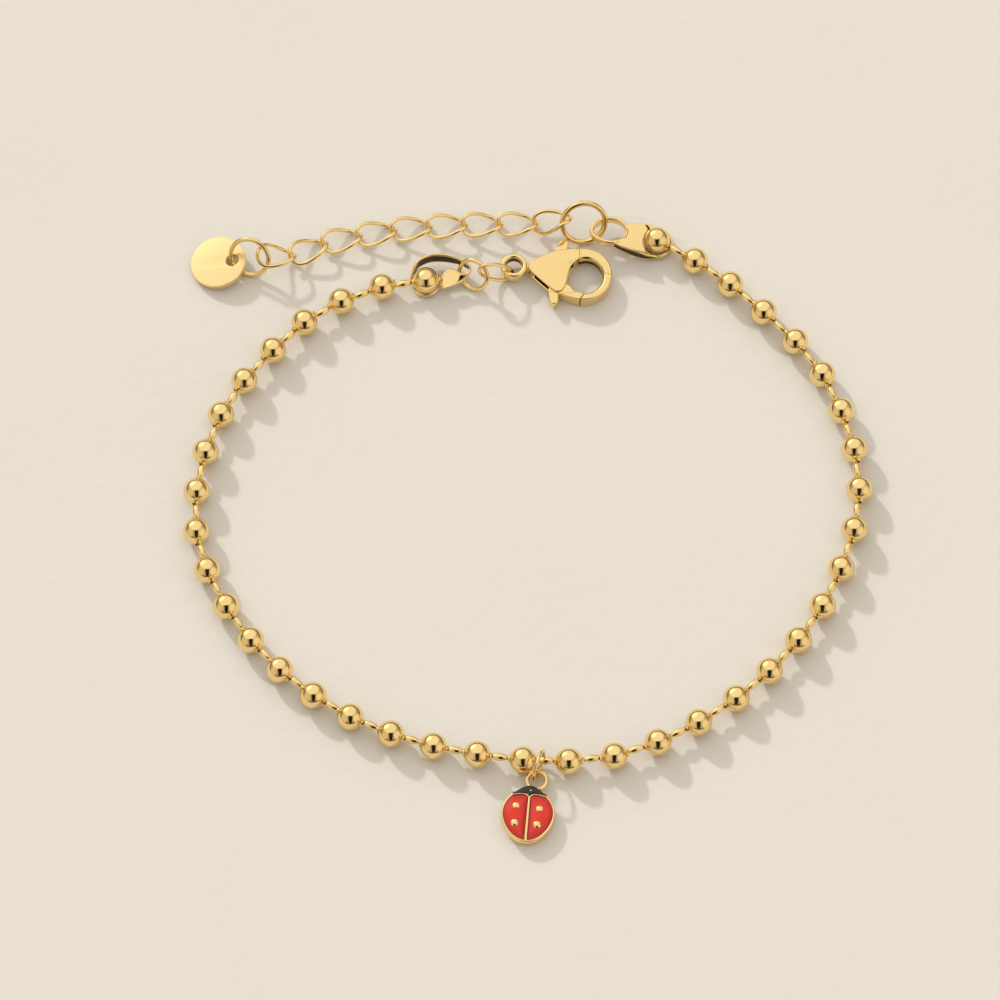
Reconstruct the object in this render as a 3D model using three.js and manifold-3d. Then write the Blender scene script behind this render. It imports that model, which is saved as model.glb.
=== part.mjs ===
// A fine gold-plated bead bracelet that lies open on a table: thirty-nine polished ball beads
// with spindle links between them, a lobster clasp on one end, an extender chain with a round
// tag on the other, and a ladybird charm that hangs from one link.
// Millimetres, +Z up, the table at z = 0, the far side of the loop towards +Y.
import * as THREE from "three";
import { mergeVertices } from "three/addons/utils/BufferGeometryUtils.js";
import Module from "manifold-3d";

const wasm = await Module();
wasm.setup();

// ---- Driving dimensions (mm) ----

const CLEARANCE = 0.05; // between pieces that touch on the real bracelet

const BEAD_COUNT = 39;
const BEAD_RADIUS = 1.25;
const BEADS_PER_STRAND = 5;
const LINK_RADIUS = 0.4; // widest place of the spindle between two beads
const LINK_END_RADIUS = 0.2;
const LINK_HALF_LENGTH = 0.78;
const NECK_RADIUS = 0.27; // rim round the hole of a bead
const NECK_REACH = 1.24; // rim's end, from the bead's centre

// Middle of the whole layout's box. Everything is moved by this much, so the box is centred.
const LAYOUT_CENTRE = { x: 0.024, y: -0.217 };

// The thread through the beads' centres, from the clasp's end round the front to the extender's.
const THREAD_POINTS = [
  { bead: 0, x: -9.56, y: 24.6 },
  { bead: 1, x: -13.7, y: 23.91 },
  { bead: 3, x: -20.96, y: 20.16 },
  { bead: 6, x: -28.63, y: 10.48 },
  { bead: 9, x: -30.71, y: -1.54 },
  { bead: 12, x: -25.48, y: -12.58 },
  { bead: 15, x: -16.25, y: -20.29 },
  { bead: 18, x: -4.65, y: -24.01 },
  { bead: 21, x: 7.84, y: -24.18 },
  { bead: 24, x: 19.04, y: -18.44 },
  { bead: 27, x: 27.12, y: -9.15 },
  { bead: 30, x: 30.8, y: 2.76 },
  { bead: 33, x: 27.6, y: 14.7 },
  { bead: 36, x: 19.14, y: 24.18 },
  { bead: 38, x: 12.28, y: 28.91 },
];

const CURB_WIRE = 0.36;
const CURB_HALF_LENGTH = 1.917; // of a link's centre line
const CURB_HALF_WIDTH = 1.149;
const CURB_TWIST = 0.438; // how far a link's sides leave its plane
const EXTENDER_LINKS = 9;

// ---- Materials ----

const gold = () =>
  new THREE.MeshStandardMaterial({ color: 0xe8bd5e, roughness: 0.12, metalness: 1 });
const satinGold = () =>
  new THREE.MeshStandardMaterial({ color: 0xf0cf85, roughness: 0.35, metalness: 1 });
const redEnamel = () =>
  new THREE.MeshStandardMaterial({ color: 0xd3241c, roughness: 0.12, metalness: 0 });
const blackEnamel = () =>
  new THREE.MeshStandardMaterial({ color: 0x2b2623, roughness: 0.25, metalness: 0 });

// ---- Shape tools ----

const bracelet = new THREE.Group();
bracelet.position.set(-LAYOUT_CENTRE.x, -LAYOUT_CENTRE.y, 0);

function addPiece(name, geometry, material, parent = bracelet) {
  const mesh = new THREE.Mesh(geometry, material);
  mesh.name = name;
  parent.add(mesh);
  return mesh;
}

// A closed geometry as a manifold-3d solid, and back.
function solidOf(geometry) {
  const bare = new THREE.BufferGeometry();
  bare.setAttribute("position", geometry.getAttribute("position").clone());
  if (geometry.index) bare.setIndex(geometry.index.clone());
  const merged = mergeVertices(bare, 1e-4);
  return new wasm.Manifold(
    new wasm.Mesh({
      numProp: 3,
      vertProperties: new Float32Array(merged.attributes.position.array),
      triVerts: new Uint32Array(merged.index.array),
    }),
  );
}

function geometryOf(solid) {
  const { vertProperties, triVerts } = solid.getMesh();
  const geometry = new THREE.BufferGeometry();
  geometry.setAttribute("position", new THREE.BufferAttribute(vertProperties, 3));
  geometry.setIndex(new THREE.BufferAttribute(triVerts, 1));
  return geometry;
}

// An outline pushed up from z = low to z = high.
function slab(shape, low, high, curveSegments = 6) {
  const geometry = new THREE.ExtrudeGeometry(shape, {
    depth: high - low,
    bevelEnabled: false,
    curveSegments,
  });
  return geometry.translate(0, 0, low);
}

function disc(x, y, radius, low, high, sides = 16) {
  const geometry = new THREE.CylinderGeometry(radius, radius, high - low, sides);
  return geometry.rotateX(Math.PI / 2).translate(x, y, (low + high) / 2);
}

function sphere({ x, y, z }, radius) {
  return new THREE.SphereGeometry(radius, 24, 16).rotateX(Math.PI / 2).translate(x, y, z);
}

function polygon(points) {
  return new THREE.Shape(points.map(([x, y]) => new THREE.Vector2(x, y)));
}

// Stacked rings of equally many points, closed by a flat fan at each end or joined in a loop.
function skin(rings, closed) {
  const sides = rings[0].length;
  const points = rings.flat();
  const index = [];
  const bands = closed ? rings.length : rings.length - 1;
  for (let i = 0; i < bands; i++) {
    const next = (i + 1) % rings.length;
    for (let k = 0; k < sides; k++) {
      const a = i * sides + k;
      const b = i * sides + ((k + 1) % sides);
      const c = next * sides + ((k + 1) % sides);
      const d = next * sides + k;
      index.push(a, b, c, a, c, d);
    }
  }
  if (!closed) {
    for (let k = 1; k < sides - 1; k++) {
      const last = (rings.length - 1) * sides;
      index.push(0, k + 1, k, last, last + k, last + k + 1);
    }
  }
  return new THREE.BufferGeometry().setFromPoints(points).setIndex(index);
}

// Wire of round section bent along a closed curve.
class CurbCurve extends THREE.Curve {
  constructor(halfLength, halfWidth, twist) {
    super();
    Object.assign(this, { halfLength, halfWidth, twist });
  }

  getPoint(t, target = new THREE.Vector3()) {
    const turn = 2 * Math.PI * t;
    return target.set(
      this.halfLength * Math.cos(turn),
      this.halfWidth * Math.sin(turn),
      -this.twist * Math.sin(2 * turn),
    );
  }
}

function closedWire(curve, wire, steps, sides) {
  const frames = curve.computeFrenetFrames(steps, true);
  const rings = [];
  for (let i = 0; i < steps; i++) {
    const centre = curve.getPointAt(i / steps);
    const ring = [];
    for (let k = 0; k < sides; k++) {
      const turn = (2 * Math.PI * k) / sides;
      ring.push(
        centre
          .clone()
          .addScaledVector(frames.normals[i], (Math.cos(turn) * wire) / 2)
          .addScaledVector(frames.binormals[i], (Math.sin(turn) * wire) / 2),
      );
    }
    rings.push(ring);
  }
  return skin(rings, true);
}

// A jump ring of round wire about a centre, its axis along normal.
function addRing(name, { centre, normal, radius, wire, sides = 8, steps = 24 }) {
  const mesh = addPiece(name, new THREE.TorusGeometry(radius, wire / 2, sides, steps), gold());
  mesh.position.set(...centre);
  mesh.quaternion.setFromUnitVectors(
    new THREE.Vector3(0, 0, 1),
    new THREE.Vector3(...normal).normalize(),
  );
  return mesh;
}

// ---- Beads and their links ----

const thread = new THREE.CatmullRomCurve3(
  THREAD_POINTS.map(({ x, y }) => new THREE.Vector3(x, y, BEAD_RADIUS)),
  false,
  "catmullrom",
  0.5,
);
const THREAD_DIVISIONS = 100 * (THREAD_POINTS.length - 1);
thread.arcLengthDivisions = THREAD_DIVISIONS;
const threadLengths = thread.getLengths();
const threadLength = thread.getLength();
const MEAN_PITCH = threadLength / (BEAD_COUNT - 1);

// Stations of one bead: distance from its centre along the thread, and radius.
const BEAD_STATIONS = [
  { at: -NECK_REACH, radius: NECK_RADIUS },
  ...[-64, -35, 0, 35, 64].map((degrees) => {
    const angle = THREE.MathUtils.degToRad(degrees);
    return { at: BEAD_RADIUS * Math.sin(angle), radius: BEAD_RADIUS * Math.cos(angle) };
  }),
  { at: NECK_REACH, radius: NECK_RADIUS },
];

// Stations of one spindle link, from the middle between two beads.
const LINK_STATIONS = [
  { at: -LINK_HALF_LENGTH, radius: LINK_END_RADIUS },
  { at: -LINK_HALF_LENGTH * 0.35, radius: LINK_RADIUS },
  { at: LINK_HALF_LENGTH * 0.35, radius: LINK_RADIUS },
  { at: LINK_HALF_LENGTH, radius: LINK_END_RADIUS },
];

function threadRing(at, radius, sides) {
  const u = THREE.MathUtils.clamp(at / threadLength, 0, 1);
  const tangent = thread.getTangentAt(u);
  const centre = thread.getPointAt(u).addScaledVector(tangent, at - u * threadLength);
  const up = new THREE.Vector3(0, 0, 1);
  const side = new THREE.Vector3().crossVectors(up, tangent);
  const ring = [];
  for (let k = 0; k < sides; k++) {
    const turn = (2 * Math.PI * k) / sides;
    ring.push(
      centre
        .clone()
        .addScaledVector(side, radius * Math.cos(turn))
        .addScaledVector(up, radius * Math.sin(turn)),
    );
  }
  return ring;
}

// How far along the thread a bead sits, between the two nearest of the thread's own points.
function beadAt(bead) {
  const knots = THREAD_POINTS.length - 1;
  const next = Math.max(THREAD_POINTS.findIndex((point) => point.bead >= bead), 1);
  const from = THREAD_POINTS[next - 1].bead;
  const to = THREAD_POINTS[next].bead;
  const start = threadLengths[((next - 1) * THREAD_DIVISIONS) / knots];
  const end = threadLengths[(next * THREAD_DIVISIONS) / knots];
  return start + ((end - start) * (bead - from)) / (to - from);
}

// One strand: its beads, the links between them, and the link that leads on to the next strand.
function strandGeometry(firstBead, lastBead) {
  const rings = [];
  const addStations = (centre, stations, stretch) => {
    for (const { at, radius } of stations) {
      rings.push(threadRing(centre + at * stretch, radius, 8));
    }
  };
  for (let bead = firstBead; bead <= lastBead; bead++) {
    addStations(beadAt(bead), BEAD_STATIONS, 1);
    if (bead < BEAD_COUNT - 1) {
      const room = beadAt(bead + 1) - beadAt(bead);
      addStations(beadAt(bead) + room / 2, LINK_STATIONS, room / MEAN_PITCH);
    }
  }
  return skin(rings, false);
}

function addStrands() {
  for (let first = 0, number = 1; first < BEAD_COUNT; first += BEADS_PER_STRAND, number++) {
    const last = Math.min(first + BEADS_PER_STRAND, BEAD_COUNT) - 1;
    addPiece("bead_strand_" + number, strandGeometry(first, last), gold());
  }
}

addStrands();

// ---- End caps ----

const firstBead = thread.getPointAt(0);
const lastBead = thread.getPointAt(1);
const CUP_RADIUS = 1.42; // middle of the strip that goes round a bead, under its link
const CUP_LOW = 0.3;
const CUP_HIGH = 0.8;

// An upright strip of sheet along a line in plan. Each row is a place on its middle line with the
// heights of its two edges.
function strip(rows, thickness, { closed = false, steps = rows.length * 3 } = {}) {
  const line = (key) =>
    new THREE.CatmullRomCurve3(
      rows.map((row) => new THREE.Vector3(row.x, row.y, row[key])),
      closed,
      "catmullrom",
      0.5,
    );
  const low = line("low");
  const high = line("high");
  const rings = [];
  for (let i = 0; i < (closed ? steps : steps + 1); i++) {
    const bottom = low.getPoint(i / steps);
    const top = high.getPoint(i / steps);
    const along = low.getTangent(i / steps).setZ(0).normalize();
    const out = new THREE.Vector3(along.y, -along.x, 0).multiplyScalar(thickness / 2);
    rings.push([
      bottom.clone().add(out),
      bottom.clone().sub(out),
      top.clone().sub(out),
      top.clone().add(out),
    ]);
  }
  return skin(rings, closed);
}

// Rows of the strip round the lower part of a bead, between two directions in degrees.
function cupRows(bead, from, to, count) {
  const rows = [];
  for (let i = 0; i < count; i++) {
    const angle = THREE.MathUtils.degToRad(from + ((to - from) * i) / (count - 1));
    rows.push({
      x: bead.x + CUP_RADIUS * Math.cos(angle),
      y: bead.y + CUP_RADIUS * Math.sin(angle),
      low: CUP_LOW,
      high: CUP_HIGH,
    });
  }
  return rows;
}

// The open cap: one strap that cups the first bead, arches away behind it and turns back
// through the clasp's ring.
const LEFT_STRAP = [
  { x: -10.97, y: 24.85, low: 0.32, high: 0.85 },
  { x: -10.78, y: 25.5, low: 0.4, high: 1.6 },
  { x: -10.3, y: 26.35, low: 0.5, high: 2.0 },
  { x: -9.3, y: 26.9, low: 0.5, high: 2.0 },
  { x: -8.2, y: 27.0, low: 0.5, high: 2.0 },
  { x: -7.2, y: 26.85, low: 0.55, high: 1.95 },
  { x: -6.2, y: 26.5, low: 0.7, high: 1.8 },
  { x: -5.45, y: 25.95, low: 0.8, high: 1.7 },
  { x: -5.45, y: 25.3, low: 0.8, high: 1.7 },
  { x: -6.1, y: 24.75, low: 0.8, high: 1.7 },
  { x: -7.2, y: 24.35, low: 0.6, high: 1.6 },
];

function addLeftEndCap() {
  const rows = [...LEFT_STRAP, ...cupRows(firstBead, -30, -172, 6)];
  addPiece("left_end_cap", strip(rows, 0.2, { closed: true }), gold());
}

// The folded cap: an eye, a flat plate with a turned-down front, and a cup under the last bead.
const EYE_LOW = 0.84;
const PLATE_TOP = 1.76;
const PLATE_UNDER = 1.5;
const EYE_LINE = [
  [6.1, 29.6],
  [6.5, 30.55],
  [7.7, 31.05],
  [8.9, 30.75],
  [9.5, 29.8],
  [9.2, 28.85],
  [8.0, 28.5],
  [6.8, 28.85],
];
const FRONT_STRIP = [
  { x: 8.1, y: 28.5, low: EYE_LOW, high: PLATE_TOP },
  { x: 9.3, y: 27.95, low: 0.55, high: PLATE_TOP },
  { x: 10.4, y: 27.55, low: 0.45, high: 1.75 },
  { x: 11.3, y: 27.4, low: 0.35, high: 1.3 },
  { x: 12.28, y: 27.45, low: CUP_LOW, high: CUP_HIGH },
];

function addRightEndCap() {
  const eyeRows = EYE_LINE.map(([x, y]) => ({ x, y, low: EYE_LOW, high: PLATE_TOP }));
  const plate = polygon([
    [9.3, 29.3],
    [9.45, 30.3],
    [9.8, 30.42],
    [11.15, 30.46],
    [11.8, 30.29],
    [11.92, 29.86],
    [11.35, 29.75],
    [10.98, 29.26],
    [10.94, 28.6],
    [11.2, 28.05],
    [11.5, 27.75],
    [11.3, 27.4],
    [9.9, 27.72],
    [8.6, 28.22],
    [8.9, 28.75],
  ]);
  const corner = polygon([
    [11.0, 30.2],
    [11.05, 30.47],
    [11.8, 30.3],
    [11.92, 29.86],
    [11.7, 29.8],
    [11.6, 30.1],
  ]);
  const cap = solidOf(strip(eyeRows, 0.22, { closed: true }))
    .add(solidOf(slab(plate, PLATE_UNDER, PLATE_TOP)))
    .add(solidOf(slab(corner, 1.2, PLATE_TOP)))
    .add(solidOf(strip(FRONT_STRIP, 0.22)))
    .subtract(solidOf(sphere(lastBead, BEAD_RADIUS + CLEARANCE)))
    .add(solidOf(strip(cupRows(lastBead, 0, 330, 12), 0.22, { closed: true })));
  addPiece("right_end_cap", geometryOf(cap), gold());
}

addLeftEndCap();
addRightEndCap();

// ---- Rings, clasp link and extender ----

function addWireLink(name, curve, wire, pose) {
  const mesh = addPiece(name, closedWire(curve, wire, 20, 6), gold());
  mesh.position.set(...pose.centre);
  mesh.rotation.set(pose.roll, -pose.pitch, pose.heading, "ZYX");
  return mesh;
}

addRing("clasp_ring", {
  centre: [-5.09, 25.11, 1.5],
  normal: [-0.469, -0.709, 0.526],
  radius: 1.485,
  wire: 0.43,
});

addWireLink("clasp_link", new CurbCurve(1.957, 0.968, 0), 0.34, {
  centre: [-2.92, 25.27, 1.646],
  roll: 1.33,
  pitch: -0.692,
  heading: 0.13,
});

addRing("end_ring", {
  centre: [5.34, 30.36, 2.02],
  normal: [0.131, -0.816, 0.563],
  radius: 2.05,
  wire: 0.54,
});

// The extender's line through the places where its links meet.
const EXTENDER_POINTS = [
  [-25.24, 26.56, 2.49],
  [-21.77, 27.57, 1.11],
  [-18.72, 28.88, 0.84],
  [-12.81, 30.15, 0.77],
  [-6.67, 30.65, 0.91],
  [0.13, 30.78, 1.02],
  [3.89, 30.55, 2.25],
];
const CURB_ROLL = -0.1; // of every link about the extender's line

function addExtender() {
  const line = new THREE.CatmullRomCurve3(
    EXTENDER_POINTS.map((point) => new THREE.Vector3(...point)),
    false,
    "catmullrom",
    0.5,
  );
  for (let i = 0; i < EXTENDER_LINKS; i++) {
    const at = (i + 0.5) / EXTENDER_LINKS;
    const centre = line.getPointAt(at);
    const along = line.getTangentAt(at);
    const curve = new CurbCurve(CURB_HALF_LENGTH, CURB_HALF_WIDTH, CURB_TWIST);
    addWireLink("extender_link_" + (i + 1), curve, CURB_WIRE, {
      centre: [centre.x, centre.y, centre.z],
      roll: CURB_ROLL,
      pitch: Math.asin(along.z),
      heading: Math.atan2(along.y, along.x),
    });
  }
}

addExtender();

const TAG = { x: -29.2, y: 26.75, radius: 2.66, thickness: 0.5, hole: 0.6, holeAt: 1.38, tilt: 11.1 };

// The tag leans on the ring that goes through its hole, with its far rim on the table.
function addTag() {
  const outline = new THREE.Shape().absarc(0, 0, TAG.radius, 0, 2 * Math.PI);
  outline.holes.push(new THREE.Path().absarc(TAG.holeAt, 0, TAG.hole, 0, 2 * Math.PI, true));
  const mesh = addPiece("tag_disc", slab(outline, -TAG.thickness / 2, TAG.thickness / 2, 18), satinGold());
  const tilt = THREE.MathUtils.degToRad(TAG.tilt);
  const height = TAG.radius * Math.sin(tilt) + (TAG.thickness / 2) * Math.cos(tilt);
  mesh.position.set(TAG.x, TAG.y, height);
  mesh.rotation.y = -tilt;
}

addRing("tag_ring", {
  centre: [-26.21, 26.8, 1.83],
  normal: [-0.277, -0.794, 0.541],
  radius: 1.87,
  wire: 0.44,
});
addTag();

addRing("charm_ring", {
  centre: [0.95, -25.25, 1.58],
  normal: [0.942, -0.333, 0.05],
  radius: 1.4,
  wire: 0.3,
});

// ---- Lobster clasp, in its own frame: origin at the hook's centre, +X away from its eye ----

const clasp = new THREE.Group();
clasp.position.set(5.25, 25.2, 0);
clasp.rotation.z = THREE.MathUtils.degToRad(-7.5);
bracelet.add(clasp);

const CLASP_THICKNESS = 1.5;
const PLATE_THICKNESS = 0.3;
const HOOK_RADIUS = 2.74;
const HOOK_HOLE = { x: 0.26, y: -0.16, halfWidth: 1.63, halfHeight: 1.8 };
const EYE = { x: -6.6, y: 0, radius: 1.2, hole: 0.78, low: 0.52, high: 1.54 };
const PIVOT = { x: -1.9, y: 1.55, pin: 0.3, hub: 0.55 };
const SEAM_INNER = [0.45, -1.96]; // where gate and hook meet, at the hole
const SEAM_OUTER = [0.04, -2.74]; // and at the outside
const SEAM_HALF_GAP = 0.04;

function ellipsePoints({ x, y, halfWidth, halfHeight }, from, to, count) {
  const points = [];
  for (let i = 0; i < count; i++) {
    const angle = THREE.MathUtils.degToRad(from + ((to - from) * i) / (count - 1));
    points.push([x + halfWidth * Math.cos(angle), y + halfHeight * Math.sin(angle)]);
  }
  return points;
}

// The body and its hook in plan, from the neck over the top and round the hook to the seam,
// then back along the hole and the plates' lower edge.
function claspOutline() {
  const hook = { x: 0, y: 0, halfWidth: HOOK_RADIUS, halfHeight: HOOK_RADIUS };
  return polygon([
    [-5.3, 0.8],
    [-4.6, 1.1],
    [-3.84, 1.66],
    [-2.9, 2.2],
    [-1.9, 2.56],
    ...ellipsePoints(hook, 104, -84, 20),
    [SEAM_OUTER[0] + SEAM_HALF_GAP, SEAM_OUTER[1]],
    [SEAM_INNER[0] + SEAM_HALF_GAP, SEAM_INNER[1]],
    ...ellipsePoints(HOOK_HOLE, -74, 190, 18),
    [-1.45, -1.1],
    [-1.7, -1.8],
    [-2.05, -2.1],
    [-2.45, -2.03],
    [-3.16, -1.57],
    [-4.3, -0.55],
    [-5.3, -0.15],
  ]);
}

function addClaspBody() {
  const slot = polygon([
    [-4.3, 0.75],
    [-3.5, 1.45],
    [-2.6, 2.0],
    [-1.9, 2.2],
    [-1.15, 2.2],
    [-1.1, 1.2],
    [-0.9, 0.6],
    [-0.9, -3],
    [-4.3, -3],
  ]);
  const lug = polygon([
    [-2.92, 2.0],
    [-1.76, 2.3],
    [-1.85, 3.65],
    [-2.3, 3.6],
  ]);
  const neck = polygon([
    [-5.6, 0.75],
    [-5.0, 0.85],
    [-5.0, -0.2],
    [-5.6, -0.45],
  ]);
  const inner = CLASP_THICKNESS - PLATE_THICKNESS;
  const recess = PIVOT.pin + CLEARANCE;
  const body = solidOf(slab(claspOutline(), 0, CLASP_THICKNESS))
    .add(solidOf(slab(neck, EYE.low, CLASP_THICKNESS - 0.1)))
    .subtract(solidOf(slab(slot, PLATE_THICKNESS, inner)))
    .add(solidOf(slab(lug, 0.3, 0.75)))
    .subtract(solidOf(disc(PIVOT.x, PIVOT.y, recess, 0.1, CLASP_THICKNESS - 0.1, 12)))
    .add(solidOf(disc(EYE.x, EYE.y, EYE.radius, EYE.low, EYE.high, 24)))
    .subtract(solidOf(disc(EYE.x, EYE.y, EYE.hole, EYE.low - 1, EYE.high + 1, 24)));
  addPiece("clasp_body", geometryOf(body), gold(), clasp);
}

// The rivet that the lever turns on, hidden between the plates.
function addClaspPin() {
  const end = 0.1 + CLEARANCE;
  const pin = disc(PIVOT.x, PIVOT.y, PIVOT.pin, end, CLASP_THICKNESS - end, 12);
  addPiece("clasp_pin", pin, gold(), clasp);
}

// Gate, arm and thumb tab in one.
function addClaspLever() {
  const low = PLATE_THICKNESS + CLEARANCE;
  const high = CLASP_THICKNESS - low;
  const lever = polygon([
    [-2.35, 1.3],
    [-1.45, 1.3],
    [-1.6, 0.4],
    [-1.6, -0.6],
    [-1.36, -1.1],
    ...ellipsePoints(HOOK_HOLE, 212, 276, 5),
    [SEAM_INNER[0] - SEAM_HALF_GAP, SEAM_INNER[1]],
    [SEAM_OUTER[0] - SEAM_HALF_GAP, SEAM_OUTER[1]],
    [-0.95, -2.6],
    [-2.02, -2.3],
    [-1.95, -2.95],
    [-2.1, -3.25],
    [-2.4, -3.4],
    [-2.68, -3.25],
    [-2.9, -2.85],
    [-3.1, -2.1],
    [-2.95, -1.0],
    [-2.55, 0.3],
  ]);
  const solid = solidOf(slab(lever, low, high))
    .add(solidOf(disc(PIVOT.x, PIVOT.y, PIVOT.hub, low, high, 16)))
    .subtract(solidOf(disc(PIVOT.x, PIVOT.y, PIVOT.pin + CLEARANCE, low - 1, high + 1, 12)));
  addPiece("clasp_lever", geometryOf(solid), gold(), clasp);
}

addClaspBody();
addClaspPin();
addClaspLever();

// ---- Ladybird charm, in its own frame: origin under the middle of the body ----

const charm = new THREE.Group();
charm.position.set(-0.05, -29.75, 0);
charm.rotation.z = THREE.MathUtils.degToRad(-5);
bracelet.add(charm);

const CHARM = { side: 2.43, point: 0.37, thickness: 1.15, rim: 0.16, bar: 0.29 };
const CHARM_LOOP = { x: 0.51, y: 3.48, z: 0.62, radius: 0.9, wire: 0.36 };
const POCKET_FLOOR = 0.8;
const ENAMEL_TOP = 1.12;
const DOTS = [
  { x: -1.13, y: 0.6 },
  { x: 1.03, y: 0.45 },
  { x: -1.12, y: -1.04 },
  { x: 0.92, y: -1.06 },
];
const DOT_RADIUS = 0.31;

// A round that draws out to a soft point above and below.
function charmOutline(inset, count = 36) {
  const points = [];
  for (let i = 0; i < count; i++) {
    const angle = (2 * Math.PI * i) / count;
    const rise = Math.sin(angle);
    const radius = CHARM.side - inset + CHARM.point * Math.abs(rise) ** (rise > 0 ? 12 : 4);
    points.push([radius * Math.cos(angle), radius * Math.sin(angle)]);
  }
  return points;
}

// The line between head and wing cases, with its notch at the middle bar.
const SHOULDER = [
  [-2.4, 1.5],
  [-1.9, 1.7],
  [-1.1, 1.9],
  [-0.35, 1.92],
  [0, 1.66],
  [0.35, 1.92],
  [1.1, 1.9],
  [1.9, 1.7],
  [2.4, 1.5],
];

// Plan of one enamel field, shrunk by inset from the metal round it.
function enamelField(side, inset) {
  if (side === 0) {
    return polygon([...SHOULDER.map(([x, y]) => [x, y + inset]), [2.4, 3.2], [-2.4, 3.2]]);
  }
  const edge = CHARM.bar / 2 + inset;
  const shoulder = SHOULDER.filter(([x]) => x * side > 0.01).map(([x, y]) => [x, y - 0.13 - inset]);
  const inner = [side * edge, 1.66 - 0.02 - inset];
  const top = side > 0 ? [inner, ...shoulder] : [...shoulder, inner];
  return polygon(
    side > 0
      ? [...top, [2.8, -3.2], [edge, -3.2]]
      : [...top, [-edge, -3.2], [-2.8, -3.2]],
  );
}

function enamelSolid(side, inset, low, high) {
  let solid = solidOf(slab(enamelField(side, inset), low, high)).intersect(
    solidOf(slab(polygon(charmOutline(CHARM.rim + inset)), low - 1, high + 1)),
  );
  for (const dot of DOTS) {
    if (dot.x * side > 0) {
      const reach = inset > 0 ? DOT_RADIUS + CLEARANCE : DOT_RADIUS;
      solid = solid.subtract(solidOf(disc(dot.x, dot.y, reach, low - 1, high + 1, 10)));
    }
  }
  return solid;
}

// One casting: the loop, the body with its pockets, the rim, the middle bar and the dots.
function addCharm() {
  const rings = [
    [0, 0.3],
    [0.35, 0],
    [CHARM.thickness, 0],
  ].map(([z, inset]) =>
    charmOutline(inset).map(([x, y]) => new THREE.Vector3(x, y, z)),
  );
  const loop = new THREE.TorusGeometry(CHARM_LOOP.radius, CHARM_LOOP.wire / 2, 8, 20)
    .scale(1, 1, 1.1)
    .translate(CHARM_LOOP.x, CHARM_LOOP.y, CHARM_LOOP.z);
  let base = solidOf(skin(rings, false)).add(solidOf(loop));
  for (const side of [-1, 0, 1]) {
    base = base.subtract(enamelSolid(side, 0, POCKET_FLOOR, CHARM.thickness + 1));
  }
  addPiece("charm_base", geometryOf(base), gold(), charm);
  const names = { "-1": "enamel_left", 0: "enamel_head", 1: "enamel_right" };
  for (const side of [-1, 0, 1]) {
    const enamel = enamelSolid(side, CLEARANCE, POCKET_FLOOR + CLEARANCE, ENAMEL_TOP);
    const material = side === 0 ? blackEnamel() : redEnamel();
    addPiece(names[side], geometryOf(enamel), material, charm);
  }
}

addCharm();

export default bracelet;
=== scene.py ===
# A gold-plated bead bracelet with a lobster clasp, an extender chain with a round tag, and an
# enamelled ladybird charm. It lies open on a pale floor. Sizes are in millimetres until a mesh
# is finished; the finished meshes are in metres.
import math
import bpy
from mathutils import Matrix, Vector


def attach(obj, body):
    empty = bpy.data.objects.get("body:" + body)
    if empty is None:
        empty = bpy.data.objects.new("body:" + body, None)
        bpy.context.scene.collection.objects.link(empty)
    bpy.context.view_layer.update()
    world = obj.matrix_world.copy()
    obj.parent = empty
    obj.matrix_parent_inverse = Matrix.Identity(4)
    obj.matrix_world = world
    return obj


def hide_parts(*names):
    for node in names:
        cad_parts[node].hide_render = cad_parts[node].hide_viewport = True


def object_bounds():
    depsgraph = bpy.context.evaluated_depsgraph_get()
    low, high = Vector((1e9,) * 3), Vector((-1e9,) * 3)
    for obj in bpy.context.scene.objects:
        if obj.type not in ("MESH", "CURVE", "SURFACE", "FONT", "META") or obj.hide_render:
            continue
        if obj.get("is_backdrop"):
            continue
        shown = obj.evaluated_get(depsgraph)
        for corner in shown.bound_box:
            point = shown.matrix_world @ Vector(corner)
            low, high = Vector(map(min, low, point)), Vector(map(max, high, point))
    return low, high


bl_info = {
    "name": "Bead bracelet",
    "version": (1, 0, 0),
    "blender": (4, 5, 0),
    "location": "3D View > Sidebar > Bracelet",
    "description": "Bead bracelet with a lobster clasp, an extender and a ladybird charm",
    "category": "Add Mesh",
}

import bmesh
import bpy
import numpy as np
from mathutils import Matrix, Vector

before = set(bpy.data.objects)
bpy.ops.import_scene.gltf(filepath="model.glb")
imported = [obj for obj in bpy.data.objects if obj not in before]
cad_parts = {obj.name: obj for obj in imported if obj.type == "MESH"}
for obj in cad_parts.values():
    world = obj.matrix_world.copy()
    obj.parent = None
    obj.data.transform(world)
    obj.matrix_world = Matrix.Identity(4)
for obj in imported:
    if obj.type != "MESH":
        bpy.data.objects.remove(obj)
CAD_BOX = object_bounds()
BODY = "bracelet"
LEVER_BODY = "lever"
MM = 0.001
METRE = 1000  # millimetres
UP = Vector((0, 0, 1))
GOLD = "polished_gold_plate"
# The second material: painted shade on inner faces and in the cap's slit, where the gold looks
# dark.
SHADED_INSIDE = "painted_shade_inside"

# ---- The layout, in millimetres, as the solids have it ----

LAYOUT_CENTRE = (0.024, -0.217)
BEAD_COUNT = 39
BEAD_HEIGHT = 1.25
STRAND_COUNT = 8
# The thread through the beads' centres: bead number, x, y.
THREAD_POINTS = [
    (0, -9.56, 24.6), (1, -13.7, 23.91), (3, -20.96, 20.16), (6, -28.63, 10.48),
    (9, -30.71, -1.54), (12, -25.48, -12.58), (15, -16.25, -20.29), (18, -4.65, -24.01),
    (21, 7.84, -24.18), (24, 19.04, -18.44), (27, 27.12, -9.15), (30, 30.8, 2.76),
    (33, 27.6, 14.7), (36, 19.14, 24.18), (38, 12.28, 28.91),
]
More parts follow.
